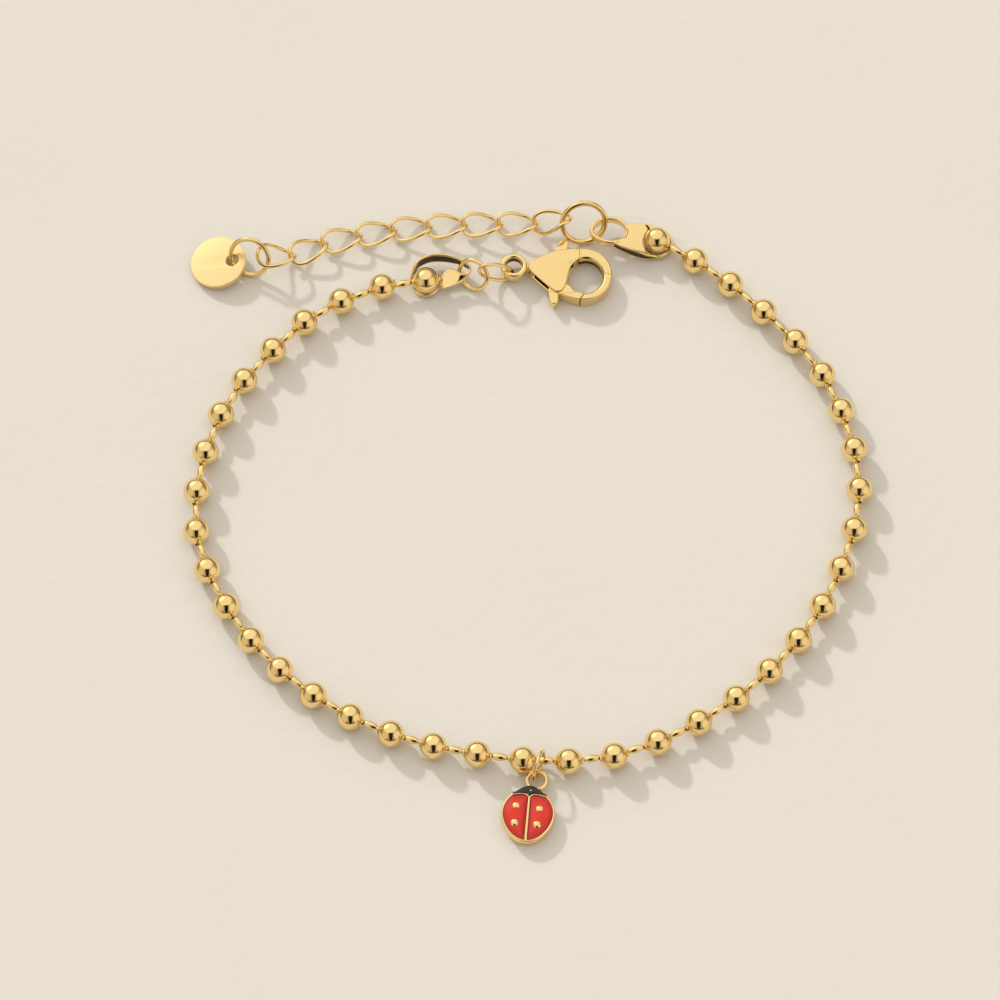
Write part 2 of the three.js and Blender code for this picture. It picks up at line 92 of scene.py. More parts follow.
# The line through the extender's links: x, y, z.
EXTENDER_POINTS = [
    (-25.24, 26.56, 2.49), (-21.77, 27.57, 1.11), (-18.72, 28.88, 0.84), (-12.81, 30.15, 0.77),
    (-6.67, 30.65, 0.91), (0.13, 30.78, 1.02), (3.89, 30.55, 2.25),
]
EXTENDER_LINKS = 9
CURB_ROLL = -0.1
RING_STEPS = 97
CURB_STEPS = 96
WIRE_SIDES = 18
# Jump rings: centre, axis, radius of the wire's middle, wire thickness, where the cut is.
JUMP_RINGS = {
    "clasp_ring": ((-5.09, 25.11, 1.5), (-0.469, -0.709, 0.526), 1.485, 0.43, 250),
    "end_ring": ((5.34, 30.36, 2.02), (0.131, -0.816, 0.563), 2.05, 0.54, 200),
    "tag_ring": ((-26.21, 26.8, 1.83), (-0.277, -0.794, 0.541), 1.87, 0.44, 30),
    "charm_ring": ((0.95, -25.25, 1.58), (0.942, -0.333, 0.05), 1.4, 0.33, 150),
}
# The link between the clasp's ring and its eye: centre, then heading, pitch and roll.
CLASP_LINK_AT = (-2.92, 25.27, 1.646)
CLASP_LINK_TURN = (0.13, -0.692, 1.33)

# Rows of an upright strip are x, y, low edge, high edge. A cup is its radius, low and high.
LEFT_CUP = (1.2, 0.32, 0.64)
LEFT_STRAP = [
    (-10.97, 24.85, 0.32, 0.85), (-10.78, 25.5, 0.4, 1.6), (-10.3, 26.35, 0.5, 2.0),
    (-9.3, 26.9, 0.5, 2.0), (-8.2, 27.0, 0.5, 2.0), (-7.2, 26.85, 0.55, 1.95),
    (-6.2, 26.5, 0.7, 1.8), (-5.45, 25.95, 0.8, 1.7), (-5.42, 25.6, 0.8, 1.7),
]
# The arm that comes back from the strap's loop and turns its face up: upper edge, lower edge.
RETURN_ARM = [
    (-5.42, 25.75, 1.7, -5.42, 25.75, 0.8), (-5.48, 25.3, 1.66, -5.56, 25.2, 0.95),
    (-5.76, 25.06, 1.58, -5.94, 24.74, 1.12), (-6.25, 25.12, 1.53, -6.42, 24.46, 1.18),
    (-6.75, 25.42, 1.5, -6.87, 24.22, 1.18), (-7.2, 25.66, 1.45, -7.33, 24.02, 1.14),
    (-7.58, 25.55, 1.38, -7.7, 23.94, 1.06), (-7.9, 25.2, 1.28, -7.97, 23.98, 0.96),
    (-8.08, 24.85, 1.16, -8.14, 24.12, 0.84),
]
RIGHT_CUP = (1.42, 0.3, 0.8)
PLATE_UNDER = 1.5
PLATE_TOP = 1.76
EYE_LOW = 0.84
EYE_LINE = [
    (6.1, 29.6), (6.5, 30.55), (7.7, 31.05), (8.9, 30.75),
    (9.5, 29.8), (9.2, 28.85), (8.0, 28.5), (6.8, 28.85),
]
FRONT_STRIP = [
    (8.1, 28.5, EYE_LOW, PLATE_TOP), (9.3, 27.95, 0.55, PLATE_TOP), (10.4, 27.55, 0.45, 1.75),
    (11.3, 27.4, 0.35, 1.3), (12.28, 27.45, 0.3, 0.8),
]
CAP_PLATE = [
    (9.3, 29.3), (9.5, 30.3), (9.8, 30.42), (11.1, 30.46), (11.25, 30.1), (11.4, 29.75),
    (11.1, 29.26), (10.92, 28.6), (10.98, 28.05), (11.2, 27.5), (11.1, 27.36), (9.9, 27.64),
    (8.5, 28.2), (9.0, 28.75),
]
CAP_FOLD = [
    (11.0, 30.47), (11.5, 30.42), (11.84, 30.28), (11.93, 29.95), (11.7, 29.64), (11.3, 29.8),
]
# A dark sliver in the slit between the plate and its fold: painted shade.
CAP_SLIT_SHADE = [(11.18, 30.34), (11.42, 30.26), (11.66, 29.86), (11.6, 29.7), (11.4, 29.84)]

# The clasp lies in its own axes, with the hook's middle at 0, 0.
CLASP_AT = (5.25, 25.2)
CLASP_TURN = math.radians(-7.5)
CLASP_THICKNESS = 1.5
HOOK_RADIUS = 2.74
HOOK_EDGES = (0.36, 0.16)
# The hook runs clockwise from its root, with a fine seam over a lower floor: degrees.
HOOK_ROOT = 102.2
HOOK_SEAM = (6.0, 4.6)
SEAM_FLOOR = (8, 2)
HOOK_END = -85
# Angles on the hook's outer edge, and the angles on its hole that lie across from them.
OUTER_TURNS = (HOOK_END, 102.5)
HOLE_TURNS = (-76, 119)
# Where the hook ends at the gate: its outer and its inner corner.
HOOK_TIP = ((0.12, -2.735), (0.49, -1.96))
# The hole inside the hook is an oval: its middle and its two radii.
HOLE = (0.26, -0.16, 1.63, 1.8)
CLASP_EYE_AT = (-6.59, 0.06)
CLASP_EYE_RADII = (1.28, 0.79)
CLASP_EYE_HEIGHTS = (0.44, 1.58)
NECK_LOW = 0.5
PLATE_MIDDLE = (-2.3, 0.55)
# One plate, from the neck over the far edge to the hook's root and back by the tip.
CLASP_PLATE = [
    (-5.32, 0.3), (-5.18, 0.74), (-4.51, 1.15), (-3.75, 1.68), (-2.75, 2.24), (-1.6, 2.57),
    (-0.62, 2.67), (-0.52, 1.66), (-0.95, 1.22), (-1.2, 0.75), (-1.33, 0.1), (-1.38, -0.5),
    (-1.45, -1.1), (-1.62, -1.65), (-1.88, -1.98), (-2.2, -2.1), (-2.75, -1.86),
    (-3.5, -1.36), (-4.4, -0.68), (-5.0, -0.2),
]
# The closed wall between the two plates: its far side, then its near side.
SPINE_FAR = [
    (-5.1, 0.7), (-4.51, 1.1), (-3.75, 1.62), (-2.75, 2.18), (-1.6, 2.5), (-0.7, 2.58),
]
SPINE_NEAR = [
    (-0.6, 1.6), (-1.05, 1.15), (-1.15, 2.2), (-1.9, 2.2), (-2.6, 2.0), (-3.5, 1.45),
    (-4.3, 0.75), (-4.55, -0.4), (-5.0, -0.1),
]
CLASP_NECK = [
    (-5.8, 0.55), (-5.45, 0.5), (-5.1, 0.62), (-5.1, -0.1), (-5.45, -0.14), (-5.8, -0.45),
]
CLASP_LUG = [
    (-2.95, 2.0), (-1.8, 2.3), (-1.83, 3.38), (-1.9, 3.72), (-2.18, 3.84), (-2.52, 3.62),
    (-2.8, 3.1), (-2.92, 2.6),
]
PIVOT = (-1.9, 1.55)
LEVER_LOW = 0.35
LEVER_HIGH = 1.15
# The lever's arm, before and after the stretch that follows the clasp's hole.
ARM_START = [(-2.4, 1.5), (-1.42, 1.5), (-1.6, 0.4), (-1.6, -0.6), (-1.36, -1.1)]
ARM_END = [(-0.3, -2.3), (-2.02, -2.28), (-3.08, -2.1), (-2.95, -1.0), (-2.55, 0.3)]
THUMB_TAB = [
    (-3.06, -1.95), (-2.02, -2.1), (-1.97, -2.6), (-1.98, -3.0), (-2.15, -3.3),
    (-2.42, -3.38), (-2.68, -3.24), (-2.88, -2.85),
]
# The gate swings just clear of the plates' tip at this radius, so it may be as thick as the hook.
GATE_RADIUS = 3.74
GATE_OUTSIDE = [(0.0, -2.735), (-0.95, -2.6), (-1.95, -2.32)]

# The charm lies in its own axes, with the body's middle at 0, 0.
CHARM_AT = (-0.05, -29.75)
CHARM_TURN = math.radians(-5)
CHARM_SIDE = 2.43
CHARM_POINT = 0.37
CHARM_TOP = 1.0
CHARM_LOOP = (0.51, 3.48)
CHARM_LOOP_RADII = (1.07, 0.72)
CHARM_LOOP_HEIGHTS = (0.38, 0.88)
CHARM_DOTS = [(-1.13, 0.6), (1.03, 0.45), (-1.12, -1.04), (0.92, -1.06)]
MIDDLE_BAR = [(0, 1.62, 1.05), (0, 0.8, 1.07), (0, -1.6, 1.07), (0, -2.4, 1.04), (0, -2.74, 0.96)]
# Rim, shoulder and dots are raised metal: a wire's height and half its thickness, and where a
# dot starts, its radius and how far it rises.
RIM_INSET = 0.09
RIM_WIRE = (1.02, 0.1)
SHOULDER_WIRE = (1.04, 0.07)
DOT = (1.1, 0.41, 0.23)
NOSE_AT = (0.08, 2.26)
NOSE = (1.06, 0.11, 0.09)
WING_GAP = 0.09  # from the middle line to each wing case
ENAMEL_INSET = 0.14
WING_CENTRE = (1.15, -0.1)
WING_HEIGHTS = (0.85, 1.03)
HEAD_INSET = 0.02
HEAD_CENTRE = (0.1, 2.2)
HEAD_HEIGHTS = (0.7, 1.07)
SHOULDER = [
    (-2.4, 1.5), (-1.9, 1.7), (-1.1, 1.9), (-0.35, 1.92), (0.0, 1.66),
    (0.35, 1.92), (1.1, 1.9), (1.9, 1.7), (2.4, 1.5),
]
SHOULDER_NOTCH = 4  # the number of its middle point

TAG_AT = (-29.2, 26.75)
TAG_TILT = math.radians(11.1)
TAG_HOLE_AT = 1.38

# ---- The stage ----

FLOOR_HALF = 1.2
SUN_WAY = (2.3, -3.2)
SUN_WIDTH = math.radians(3.5)
SUN_COLOUR = "#FFFBF4"
# The sky's colour by height, 0 at the horizon and 1 straight up. The two ends come first.
SKY = [(0.0, "#4A3422"), (1.0, "#B9AEA0"), (0.08, "#574330"), (0.24, "#A9A093")]
# Soft panels: direction, the angles where each is full and where it has faded, colour.
PANELS = [
    ((-0.8, -0.43, 0.42), 12, 40, "#E2D5C2"),
    ((0.83, -0.37, 0.42), 16, 42, "#FAEDDB"),
    ((-0.1, 0.49, 0.865), 40, 56, "#FFF9EE"),
]
GLOW_ANGLES = (4, 26)
BLACK_CARD = [
    (-0.075, -0.49, 0.09), (0.075, -0.49, 0.09), (0.148, -0.141, 0.456), (-0.148, -0.141, 0.456),
]
VIEW_MIDDLE = (-2.58, 2.25, 0)
SENSOR = 36
VIEWS_PER_METRE = 10.75  # how many widths of the view make a metre at its middle


# ---- Settings that a user would change ----


def number(name, description, value, **settings):
    return bpy.props.FloatProperty(name=name, description=description, default=value, **settings)


def length(name, description, millimetres):
    unit = {"subtype": "DISTANCE", "unit": "LENGTH"}
    return number(name, description, millimetres * MM, min=0.0, precision=5, **unit)


def angle(name, description, degrees):
    return number(name, description, math.radians(degrees), subtype="ANGLE")


def colour(name, description, code):
    return bpy.props.FloatVectorProperty(
        name=name, description=description, default=linear(code), subtype="COLOR", size=3
    )


def linear(code):
    """An sRGB hex colour as linear red, green and blue."""
    parts = [int(code[i : i + 2], 16) / 255 for i in (1, 3, 5)]
    return [p / 12.92 if p <= 0.04045 else ((p + 0.055) / 1.055) ** 2.4 for p in parts]


class BraceletBeads(bpy.types.PropertyGroup):
    bead_radius: length("Bead radius", "Radius of a ball bead", 1.25)
    collar_radius: length("Collar radius", "Outer radius of the collar round a bead's hole", 0.34)
    collar_reach: length("Collar reach", "Collar's end from the bead's centre", 1.36)
    link_radius: length("Link radius", "Widest radius of a spindle link", 0.37)
    link_half_length: length("Link half length", "From a link's middle to its tapered end", 0.84)
    neck_radius: length("Neck radius", "Radius of a link's ends inside the collars", 0.13)
    segments: bpy.props.IntProperty(
        name="Segments", description="Faces round a bead", default=48, min=16, max=64
    )


class BraceletWire(bpy.types.PropertyGroup):
    curb_wire: length("Curb wire", "Thickness of the extender's wire", 0.36)
    curb_half_length: length("Curb half length", "Half a curb link's length", 1.917)
    curb_half_width: length("Curb half width", "Half a curb link's width", 1.149)
    curb_twist: length("Curb twist", "How far a curb link's sides leave its plane", 0.438)
    clasp_link_wire: length("Clasp link wire", "Thickness of the clasp link's wire", 0.34)
    clasp_link_half_length: length("Clasp link half length", "Half the clasp link's length", 1.957)
    clasp_link_half_width: length("Clasp link half width", "Half the clasp link's width", 0.968)
    ring_cut: angle("Ring cut", "Angle of the closed cut in a jump ring", 1.2)


class BraceletMetal(bpy.types.PropertyGroup):
    strap_thickness: length("Strap thickness", "Sheet of the open end cap", 0.2)
    cap_thickness: length("Cap thickness", "Sheet of the folded end cap", 0.22)
    plate_thickness: length("Clasp plate", "Thickness of each clasp plate", 0.3)
    edge_radius: length("Edge radius", "Rounding of the clasp's cast edges", 0.13)
    tag_radius: length("Tag radius", "Radius of the round tag", 2.66)
    tag_thickness: length("Tag thickness", "Thickness of the round tag", 0.5)
    tag_hole: length("Tag hole", "Radius of the tag's hole", 0.6)


class BraceletFinish(bpy.types.PropertyGroup):
    gold: colour("Gold", "Polished gold plate", "#FBE1A3")
    gold_deep: colour("Deep gold", "Gold plate where it is thicker", "#F6D792")
    inside: colour("Inside", "Unpolished inner faces", "#3D2B19")
    # Painted shade: the dark brown that is given to inner faces and to the cap's slit.
    satin: colour("Satin gold", "Tumbled gold plate of the tag", "#FCE0A4")
    red: colour("Red enamel", "Wing cases", "#DB2409")
    # Painted shade: the crimson that the wing cases darken to towards the foot of their domes.
    red_painted_shade: colour("Deep red enamel", "Wing cases where the enamel is thick", "#A90805")
    black: colour("Black enamel", "Head", "#1B1511")
    floor: colour("Floor", "Pale plaster floor", "#E5E4E2")


class BraceletStage(bpy.types.PropertyGroup):
    camera_elevation: angle("Camera elevation", "Angle of the camera above the floor", 64.5)
    camera_distance: length("Camera distance", "From the camera to the middle of the view", 600)
    sun_elevation: angle("Sun elevation", "Angle of the key light above the floor", 28.5)
    sun_strength: number("Sun strength", "Strength of the key light", 1.5, min=0.0)
    sun_glow: number("Sun glow", "Soft glow round the key light", 0.9, min=0.0)
    fill_strength: number("Fill strength", "Strength of the surroundings", 1.0, min=0.0)


# ---- Lines and outlines ----


class Line:
    """A uniform Catmull-Rom curve through points, with its length from end to end."""

    def __init__(self, points, closed=False, steps=100):
        self.points = np.array(points, float)
        self.closed = closed
        self.spans = len(points) if closed else len(points) - 1
        self.steps = steps
        count = self.spans * steps
        self.samples = np.array([self.point(i / steps) for i in range(count + 1)])
        gaps = np.linalg.norm(np.diff(self.samples, axis=0), axis=1)
        self.lengths = np.concatenate([[0.0], np.cumsum(gaps)])

    def knot(self, i):
        if self.closed:
            return self.points[i % len(self.points)]
        if i < 0:
            return 2 * self.points[0] - self.points[1]
        if i >= len(self.points):
            return 2 * self.points[-1] - self.points[-2]
        return self.points[i]

    def point(self, t):
        """The point at t, where each span between two knots is 1 long."""
        i = min(int(t), self.spans - 1)
        u = t - i
        a, b, c, d = (self.knot(i + k) for k in (-1, 0, 1, 2))
        start, end = (c - a) / 2, (d - b) / 2
        bend = 3 * (c - b) - 2 * start - end
        turn = 2 * (b - c) + start + end
        return b + start * u + bend * u * u + turn * u**3

    def at(self, distance, reach=0.02):
        """The point at a distance along the line, and the direction across a short reach."""
        ends = np.clip([distance - reach, distance + reach], 0, self.lengths[-1])
        pick = [
            np.array([np.interp(d, self.lengths, column) for column in self.samples.T])
            for d in (distance, *ends)
        ]
        along = pick[2] - pick[1]
        return pick[0], along / np.linalg.norm(along)


def bead_distances(thread):
    """How far along the thread each bead sits."""
    distances = []
    for bead in range(BEAD_COUNT):
        after = max(next(i for i, k in enumerate(THREAD_POINTS) if k[0] >= bead), 1)
        low, high = THREAD_POINTS[after - 1][0], THREAD_POINTS[after][0]
        start, end = (thread.lengths[knot * thread.steps] for knot in (after - 1, after))
        distances.append(start + (end - start) * (bead - low) / (high - low))
    return distances


def smooth_outline(points, corners, steps):
    """A closed outline through points, smooth everywhere but at the numbered corners."""
    count = len(points)
    out = []
    for first, last in zip(corners, (*corners[1:], corners[0] + count)):
        run = [points[i % count] for i in range(first, last + 1)]
        out += [tuple(p) for p in Line(run, steps=steps).samples[:-1]]
    return out


def arc(x, y, radius_x, radius_y, start, end, count):
    """Points round part of an ellipse, between two angles in degrees."""
    turns = np.radians(np.linspace(start, end, count))
    return [(x + radius_x * math.cos(a), y + radius_y * math.sin(a)) for a in turns]


def circle(x, y, radius, count):
    return arc(x, y, radius, radius, 0, 360 - 360 / count, count)


def cup_rows(bead, start, end, count, cup):
    """Rows of an upright strip that runs round a bead."""
    radius, low, high = cup
    return [(x, y, low, high) for x, y in arc(*bead, radius, radius, start, end, count)]


def directions(samples, closed):
    """Each sample, with the step from the one before it to the one after it."""
    count = len(samples)
    for i in range(count):
        before = samples[i - 1] if closed or i else samples[0]
        after = samples[(i + 1) % count] if closed or i < count - 1 else samples[-1]
        yield samples[i], after - before


# ---- Shapes: each is its vertices, its faces and each face's finish number ----

RIM = 0.12  # gold rim left above and below an inner face that gets painted shade
# Side numbers of a rounded section's two upright faces, between their rims.
NEAR_FACE = (30,)
FAR_FACE = (14,)


def merged(parts):
    """One part from several."""
    vertices, faces, kinds = [], [], []
    for part_vertices, part_faces, part_kinds in parts:
        start = len(vertices)
        vertices += [tuple(v) for v in part_vertices]
        faces += [tuple(start + i for i in face) for face in part_faces]
        kinds += part_kinds
    return vertices, faces, kinds


def skin(rings, closed, shaded_sides=()):
    """Faces over rings of equally many points, with flat ends unless closed. The listed sides get
    the second material, which is painted shade."""
    sides = len(rings[0])
    vertices = [tuple(p) for ring in rings for p in ring]
    faces, kinds = [], []
    for i in range(len(rings) if closed else len(rings) - 1):
        j = (i + 1) % len(rings)
        for k in range(sides):
            m = (k + 1) % sides
            faces.append((i * sides + k, i * sides + m, j * sides + m, j * sides + k))
            kinds.append(1 if k in shaded_sides else 0)
    if not closed:
        last = (len(rings) - 1) * sides
        faces.append(tuple(reversed(range(sides))))
        faces.append(tuple(last + k for k in range(sides)))
        kinds += [0, 0]
    return vertices, faces, kinds


def lathe(profile, segments):
    """A turned shape about Z from (height, radius) pairs that start and end on the axis."""
    turns = [2 * math.pi * k / segments for k in range(segments)]
    rings = [[(r * math.cos(a), r * math.sin(a), z) for a in turns] for z, r in profile[1:-1]]
    vertices, faces, _ = skin(rings, closed=False)
    faces = faces[:-2]
    bottom, top = len(vertices), len(vertices) + 1
    vertices += [(0, 0, profile[0][0]), (0, 0, profile[-1][0])]
    last = (len(rings) - 1) * segments
    for k in range(segments):
        m = (k + 1) % segments
        faces.append((bottom, m, k))
        faces.append((top, last + k, last + m))
    return vertices, faces, [0] * len(faces)


def tube(points, radius, sides=12, flat=1.0):
    """A round wire along points, flattened where flat is under 1. The radius is a number or
    a rule from the start, 0, to the end, 1."""
    rings = []
    points = [Vector(p) for p in points]
    for i, (p, step) in enumerate(directions(points, False)):
        along = step.normalized()
        side = along.cross(UP).normalized()
        up = side.cross(along)
        r = radius(i / (len(points) - 1)) if callable(radius) else radius
        turns = [2 * math.pi * k / sides for k in range(sides)]
        rings.append([p + side * r * math.cos(a) + up * r * flat * math.sin(a) for a in turns])
    return skin(rings, False)


def rounded_section(origin, across, wide, up, tall, edges, steps=6):
    """A rounded rectangle's points: from a corner, across it and up it. The edges are the
    radii at the start and at the far side, and each upright face has a rim above and below."""
    near, far = edges
    points = []
    for out, height, edge, start in (
        (near, near, near, 180),
        (wide - far, far, far, 270),
        (wide - far, tall - far, far, 0),
        (near, tall - near, near, 90),
    ):
        for a in (math.radians(start + 90 * k / steps) for k in range(steps + 1)):
            points.append(
                origin + across * (out + edge * math.cos(a)) + up * (height + edge * math.sin(a))
            )
        if start in (270, 90):
            rim = min(RIM, (tall - 2 * edge) / 3)
            side = across * (wide if start == 270 else 0)
            heights = (edge + rim, tall - edge - rim)
            for height in heights if start == 270 else reversed(heights):
                points.append(origin + side + up * height)
    return points


def strip(rows, thickness, edge, steps, closed=False, shaded_sides=()):
    """Upright sheet metal with rounded edges along rows of x, y, low edge, high edge. Its far
    face is on the right of the way it runs."""
    line = Line(rows, closed=closed, steps=steps)
    samples = line.samples[:-1] if closed else line.samples
    rings = []
    for (x, y, low, high), along in directions(samples, closed):
        out = Vector((along[1], -along[0], 0)).normalized()
        origin = Vector((x, y, low)) - out * thickness / 2
        rings.append(rounded_section(origin, out, thickness, UP, high - low, (edge, edge)))
    return skin(rings, closed, shaded_sides)


def ribbon(rows, thickness, edge=0.06, steps=10):
    """Sheet metal that may twist, along rows of its two edges: x, y, z and x, y, z."""
    rings = []
    for row, along in directions(Line(rows, steps=steps).samples, False):
        first, second = Vector(row[:3]), Vector(row[3:])
        across = (first - second).normalized()
        run = Vector(along[:3]) + Vector(along[3:])
        out = run.cross(across).normalized()
        origin = second - out * thickness / 2
        tall = (first - second).length
        rings.append(rounded_section(origin, out, thickness, across, tall, (edge, edge)))
    return skin(rings, False)


def rail(outers, inners, low, high, edges, closed=False, shaded_sides=()):
    """A flat hoop or hook between an inner and an outer line, rounded on all four edges."""
    rings = []
    for (ox, oy), (ix, iy) in zip(outers, inners):
        across = Vector((ox - ix, oy - iy, 0))
        origin = Vector((ix, iy, low))
        wide = across.length
        rings.append(rounded_section(origin, across / wide, wide, UP, high - low, edges))
    return skin(rings, closed, shaded_sides)


def pillow(outline, low, high, edge, crown, centre):
    """A flat-backed plate with a rounded upper edge and a slightly domed face."""
    points = [Vector((x, y, 0)) for x, y in outline]
    if sum(points[i - 1].cross(points[i]).z for i in range(len(points))) < 0:
        points.reverse()
    inward = [step.normalized() for _, step in directions(points, True)]

    def inset(distance, z):
        return [p + Vector((-n.y, n.x, 0)) * distance + UP * z for p, n in zip(points, inward)]

    rings = [inset(0.05, low), inset(0.015, low + 0.015), inset(0, low + 0.05)]
    for a in np.radians(np.linspace(0, 90, 7)):
        rings.append(inset(edge * (1 - math.cos(a)), high - edge + edge * math.sin(a)))
    middle = Vector((*centre, high))
    rim = rings[-1]
    for t in (0.93, 0.82, 0.68, 0.52, 0.36, 0.2, 0.08):
        rise = UP * crown * (1 - t * t)
        rings.append([middle + (p - middle) * t + rise for p in rim])
    return skin(rings, False)


def slab(outlines, low, high, edge, resolution=4, kind=0):
    """A flat casting between two heights with rounded edges, from its outline and its holes."""
    flat = bpy.data.curves.new("outline", "CURVE")
    flat.dimensions = "2D"
    flat.fill_mode = "BOTH"
    flat.extrude = (high - low) / 2 - edge
    flat.bevel_depth = edge
    flat.bevel_resolution = resolution
    flat.offset = -edge
    for outline in outlines:
        spline = flat.splines.new("POLY")
        spline.points.add(len(outline) - 1)
        for point, (x, y) in zip(spline.points, outline):
            point.co = (x, y, 0, 1)
        spline.use_cyclic_u = True
    holder = add_object("outline", flat)
    depsgraph = bpy.context.evaluated_depsgraph_get()
    mesh = bpy.data.meshes.new_from_object(holder.evaluated_get(depsgraph))
    bpy.data.objects.remove(holder)
    bpy.data.curves.remove(flat)
    shape = bmesh.new()
    shape.from_mesh(mesh)
    bmesh.ops.remove_doubles(shape, verts=shape.verts, dist=1e-4)
    bmesh.ops.recalc_face_normals(shape, faces=shape.faces)
    vertices = [(v.co.x, v.co.y, v.co.z + (low + high) / 2) for v in shape.verts]
    faces = [[v.index for v in face.verts] for face in shape.faces]
    shape.free()
    bpy.data.meshes.remove(mesh)
    return vertices, faces, [kind] * len(faces)


def put(part, x, y, turn=0.0):
    """A part turned about Z and moved to its place in the layout."""
    vertices, faces, kinds = part
    c, s = math.cos(turn), math.sin(turn)
    moved = [(x + c * v[0] - s * v[1], y + s * v[0] + c * v[1], v[2]) for v in vertices]
    return moved, faces, kinds


# ---- From shapes to pieces ----


def placed(x, y, z):
    """A point of the layout, in metres, with the layout's middle at the origin."""
    return Vector((x - LAYOUT_CENTRE[0], y - LAYOUT_CENTRE[1], z)) * MM


def add_object(name, data):
    holder = bpy.data.objects.new(name, data)
    bpy.context.scene.collection.objects.link(holder)
    return holder


def add_mesh(name, vertices, faces, materials=(), edges=()):
    """An object with a mesh in metres."""
    mesh = bpy.data.meshes.new(name)
    mesh.from_pydata(vertices, edges, faces)
    mesh.update()
    for material in materials:
        mesh.materials.append(material)
    return add_object(name, mesh)


def islands(shape):
    """The faces of each joined shell."""
    left = set(shape.faces)
    while left:
        shell, edge = [], [left.pop()]
        while edge:
            face = edge.pop()
            shell.append(face)
            for side in face.edges:
                near = [f for f in side.link_faces if f in left]
                left.difference_update(near)
                edge += near
        yield shell


def volume_under(face):
    """A face's share of its shell's volume, six times over."""
    first, *rest = [vert.co for vert in face.verts]
    return sum(first.dot(a.cross(b)) for a, b in zip(rest, rest[1:]))


def finish_piece(name, parts, node, finishes=(GOLD,), body=BODY):
    """Makes the object from its parts, with each shell right side out, and ties it."""
    vertices, faces, kinds = merged(parts)
    materials = [finish_named(finish) for finish in finishes]
    piece = add_mesh(name, [placed(*v) for v in vertices], faces, materials)
    piece.data.polygons.foreach_set("material_index", kinds)
    shape = bmesh.new()
    shape.from_mesh(piece.data)
    bmesh.ops.recalc_face_normals(shape, faces=shape.faces)
    for island in islands(shape):
        if sum(volume_under(face) for face in island) < 0:
            bmesh.ops.reverse_faces(shape, faces=island)
    shape.to_mesh(piece.data)
    shape.free()
    piece.modifiers.new("Even faces", "WEIGHTED_NORMAL").keep_sharp = True
    shade_and_tie(piece, [node], body)


def shade_and_tie(piece, nodes, body=BODY, sharp=38):
    """Smooths the piece up to a sharp angle, parents it to its body's empty and hides the solids
    that it stands for.
    """
    piece.data.shade_smooth()
    piece.data.set_sharp_from_angle(angle=math.radians(sharp))
    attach(piece, body)
    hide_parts(*nodes)


# ---- Node trees ----

CARRIED = "GeometryNodeInputNamedAttribute"  # what the points carry under a name


def add_node(tree, kind, inputs=None, output=None, **settings):
    """Adds a node with its settings. Each input is given a value, or a link where it is a
    socket. Gives the output that is asked for, or else the first one in use."""
    node = tree.nodes.new(kind)
    for key, value in settings.items():
        setattr(node, key, value)
    for name, value in (inputs or {}).items():
        if isinstance(value, bpy.types.NodeSocket):
            tree.links.new(value, node.inputs[name])
        else:
            node.inputs[name].default_value = value
    if output is None:
        return next((socket for socket in node.outputs if socket.enabled), None)
    return node.outputs[output]


def geometry_tree(name, inputs):
    """A Geometry Nodes tree with named inputs. Gives the tree and its input sockets."""
    tree = bpy.data.node_groups.new(name, "GeometryNodeTree")
    tree.interface.new_socket("Geometry", in_out="INPUT", socket_type="NodeSocketGeometry")
    for label, kind in inputs.items():
        tree.interface.new_socket(label, in_out="INPUT", socket_type="NodeSocket" + kind)
    tree.interface.new_socket("Geometry", in_out="OUTPUT", socket_type="NodeSocketGeometry")
    return tree, tree.nodes.new("NodeGroupInput").outputs


def on_points(tree, given, shape, turn, mode="VERTICES"):
    """A copy of a shape on each vertex, or in the middle of each edge."""
    dots = add_node(tree, "GeometryNodeMeshToPoints", {"Mesh": given[0]}, mode=mode)
    inputs = {"Points": dots, "Instance": shape, "Rotation": turn}
    return add_node(tree, "GeometryNodeInstanceOnPoints", inputs)


def close_tree(tree, shape, given):
    """Ends a tree: real faces, smooth, with their material."""
    real = add_node(tree, "GeometryNodeRealizeInstances", {0: shape})
    smooth = add_node(tree, "GeometryNodeSetShadeSmooth", {0: real})
    inputs = {"Geometry": smooth, "Material": given["Material"]}
    painted = add_node(tree, "GeometryNodeSetMaterial", inputs)
    add_node(tree, "NodeGroupOutput", {0: painted})


def grow(name, points, label, vectors, tree, values, nodes, edges=(), sharp=38):
    """Runs a tree on points that carry vectors, keeps the result as one plain mesh and ties it."""
    piece = add_mesh(name + "_points", points, [], edges=edges)
    dots = piece.data
    layer = dots.attributes.new(label, "FLOAT_VECTOR", "POINT")
    layer.data.foreach_set("vector", [c for vector in vectors for c in vector])
    modifier = piece.modifiers.new("Grow", "NODES")
    modifier.node_group = tree
    values = {**values, "Material": finish_named(GOLD)}
    for item in tree.interface.items_tree:
        if item.in_out == "INPUT" and item.name in values:
            modifier[item.identifier] = values[item.name]
    depsgraph = bpy.context.evaluated_depsgraph_get()
    grown = bpy.data.meshes.new_from_object(piece.evaluated_get(depsgraph), depsgraph=depsgraph)
    piece.modifiers.remove(modifier)
    piece.data = grown
    piece.name = grown.name = name
    bpy.data.meshes.remove(dots)
    shade_and_tie(piece, nodes, sharp=sharp)


# ---- Finishes ----

# A finish gives the inputs of its shader. Those that vary over the surface are themselves the
# inputs of a node that mixes two colours, of one that sets a range, or of a bump.
VARIED = {
    "Base Color": ("ShaderNodeMix", {"data_type": "RGBA"}),
    "Roughness": ("ShaderNodeMapRange", {}),
    "Normal": ("ShaderNodeBump", {}),
}
GRAIN = "ShaderNodeTexNoise"  # blotches about as large as its scale says
GRAIN_SPAN = {"From Min": 0.3, "From Max": 0.7}  # where most of the grain lies


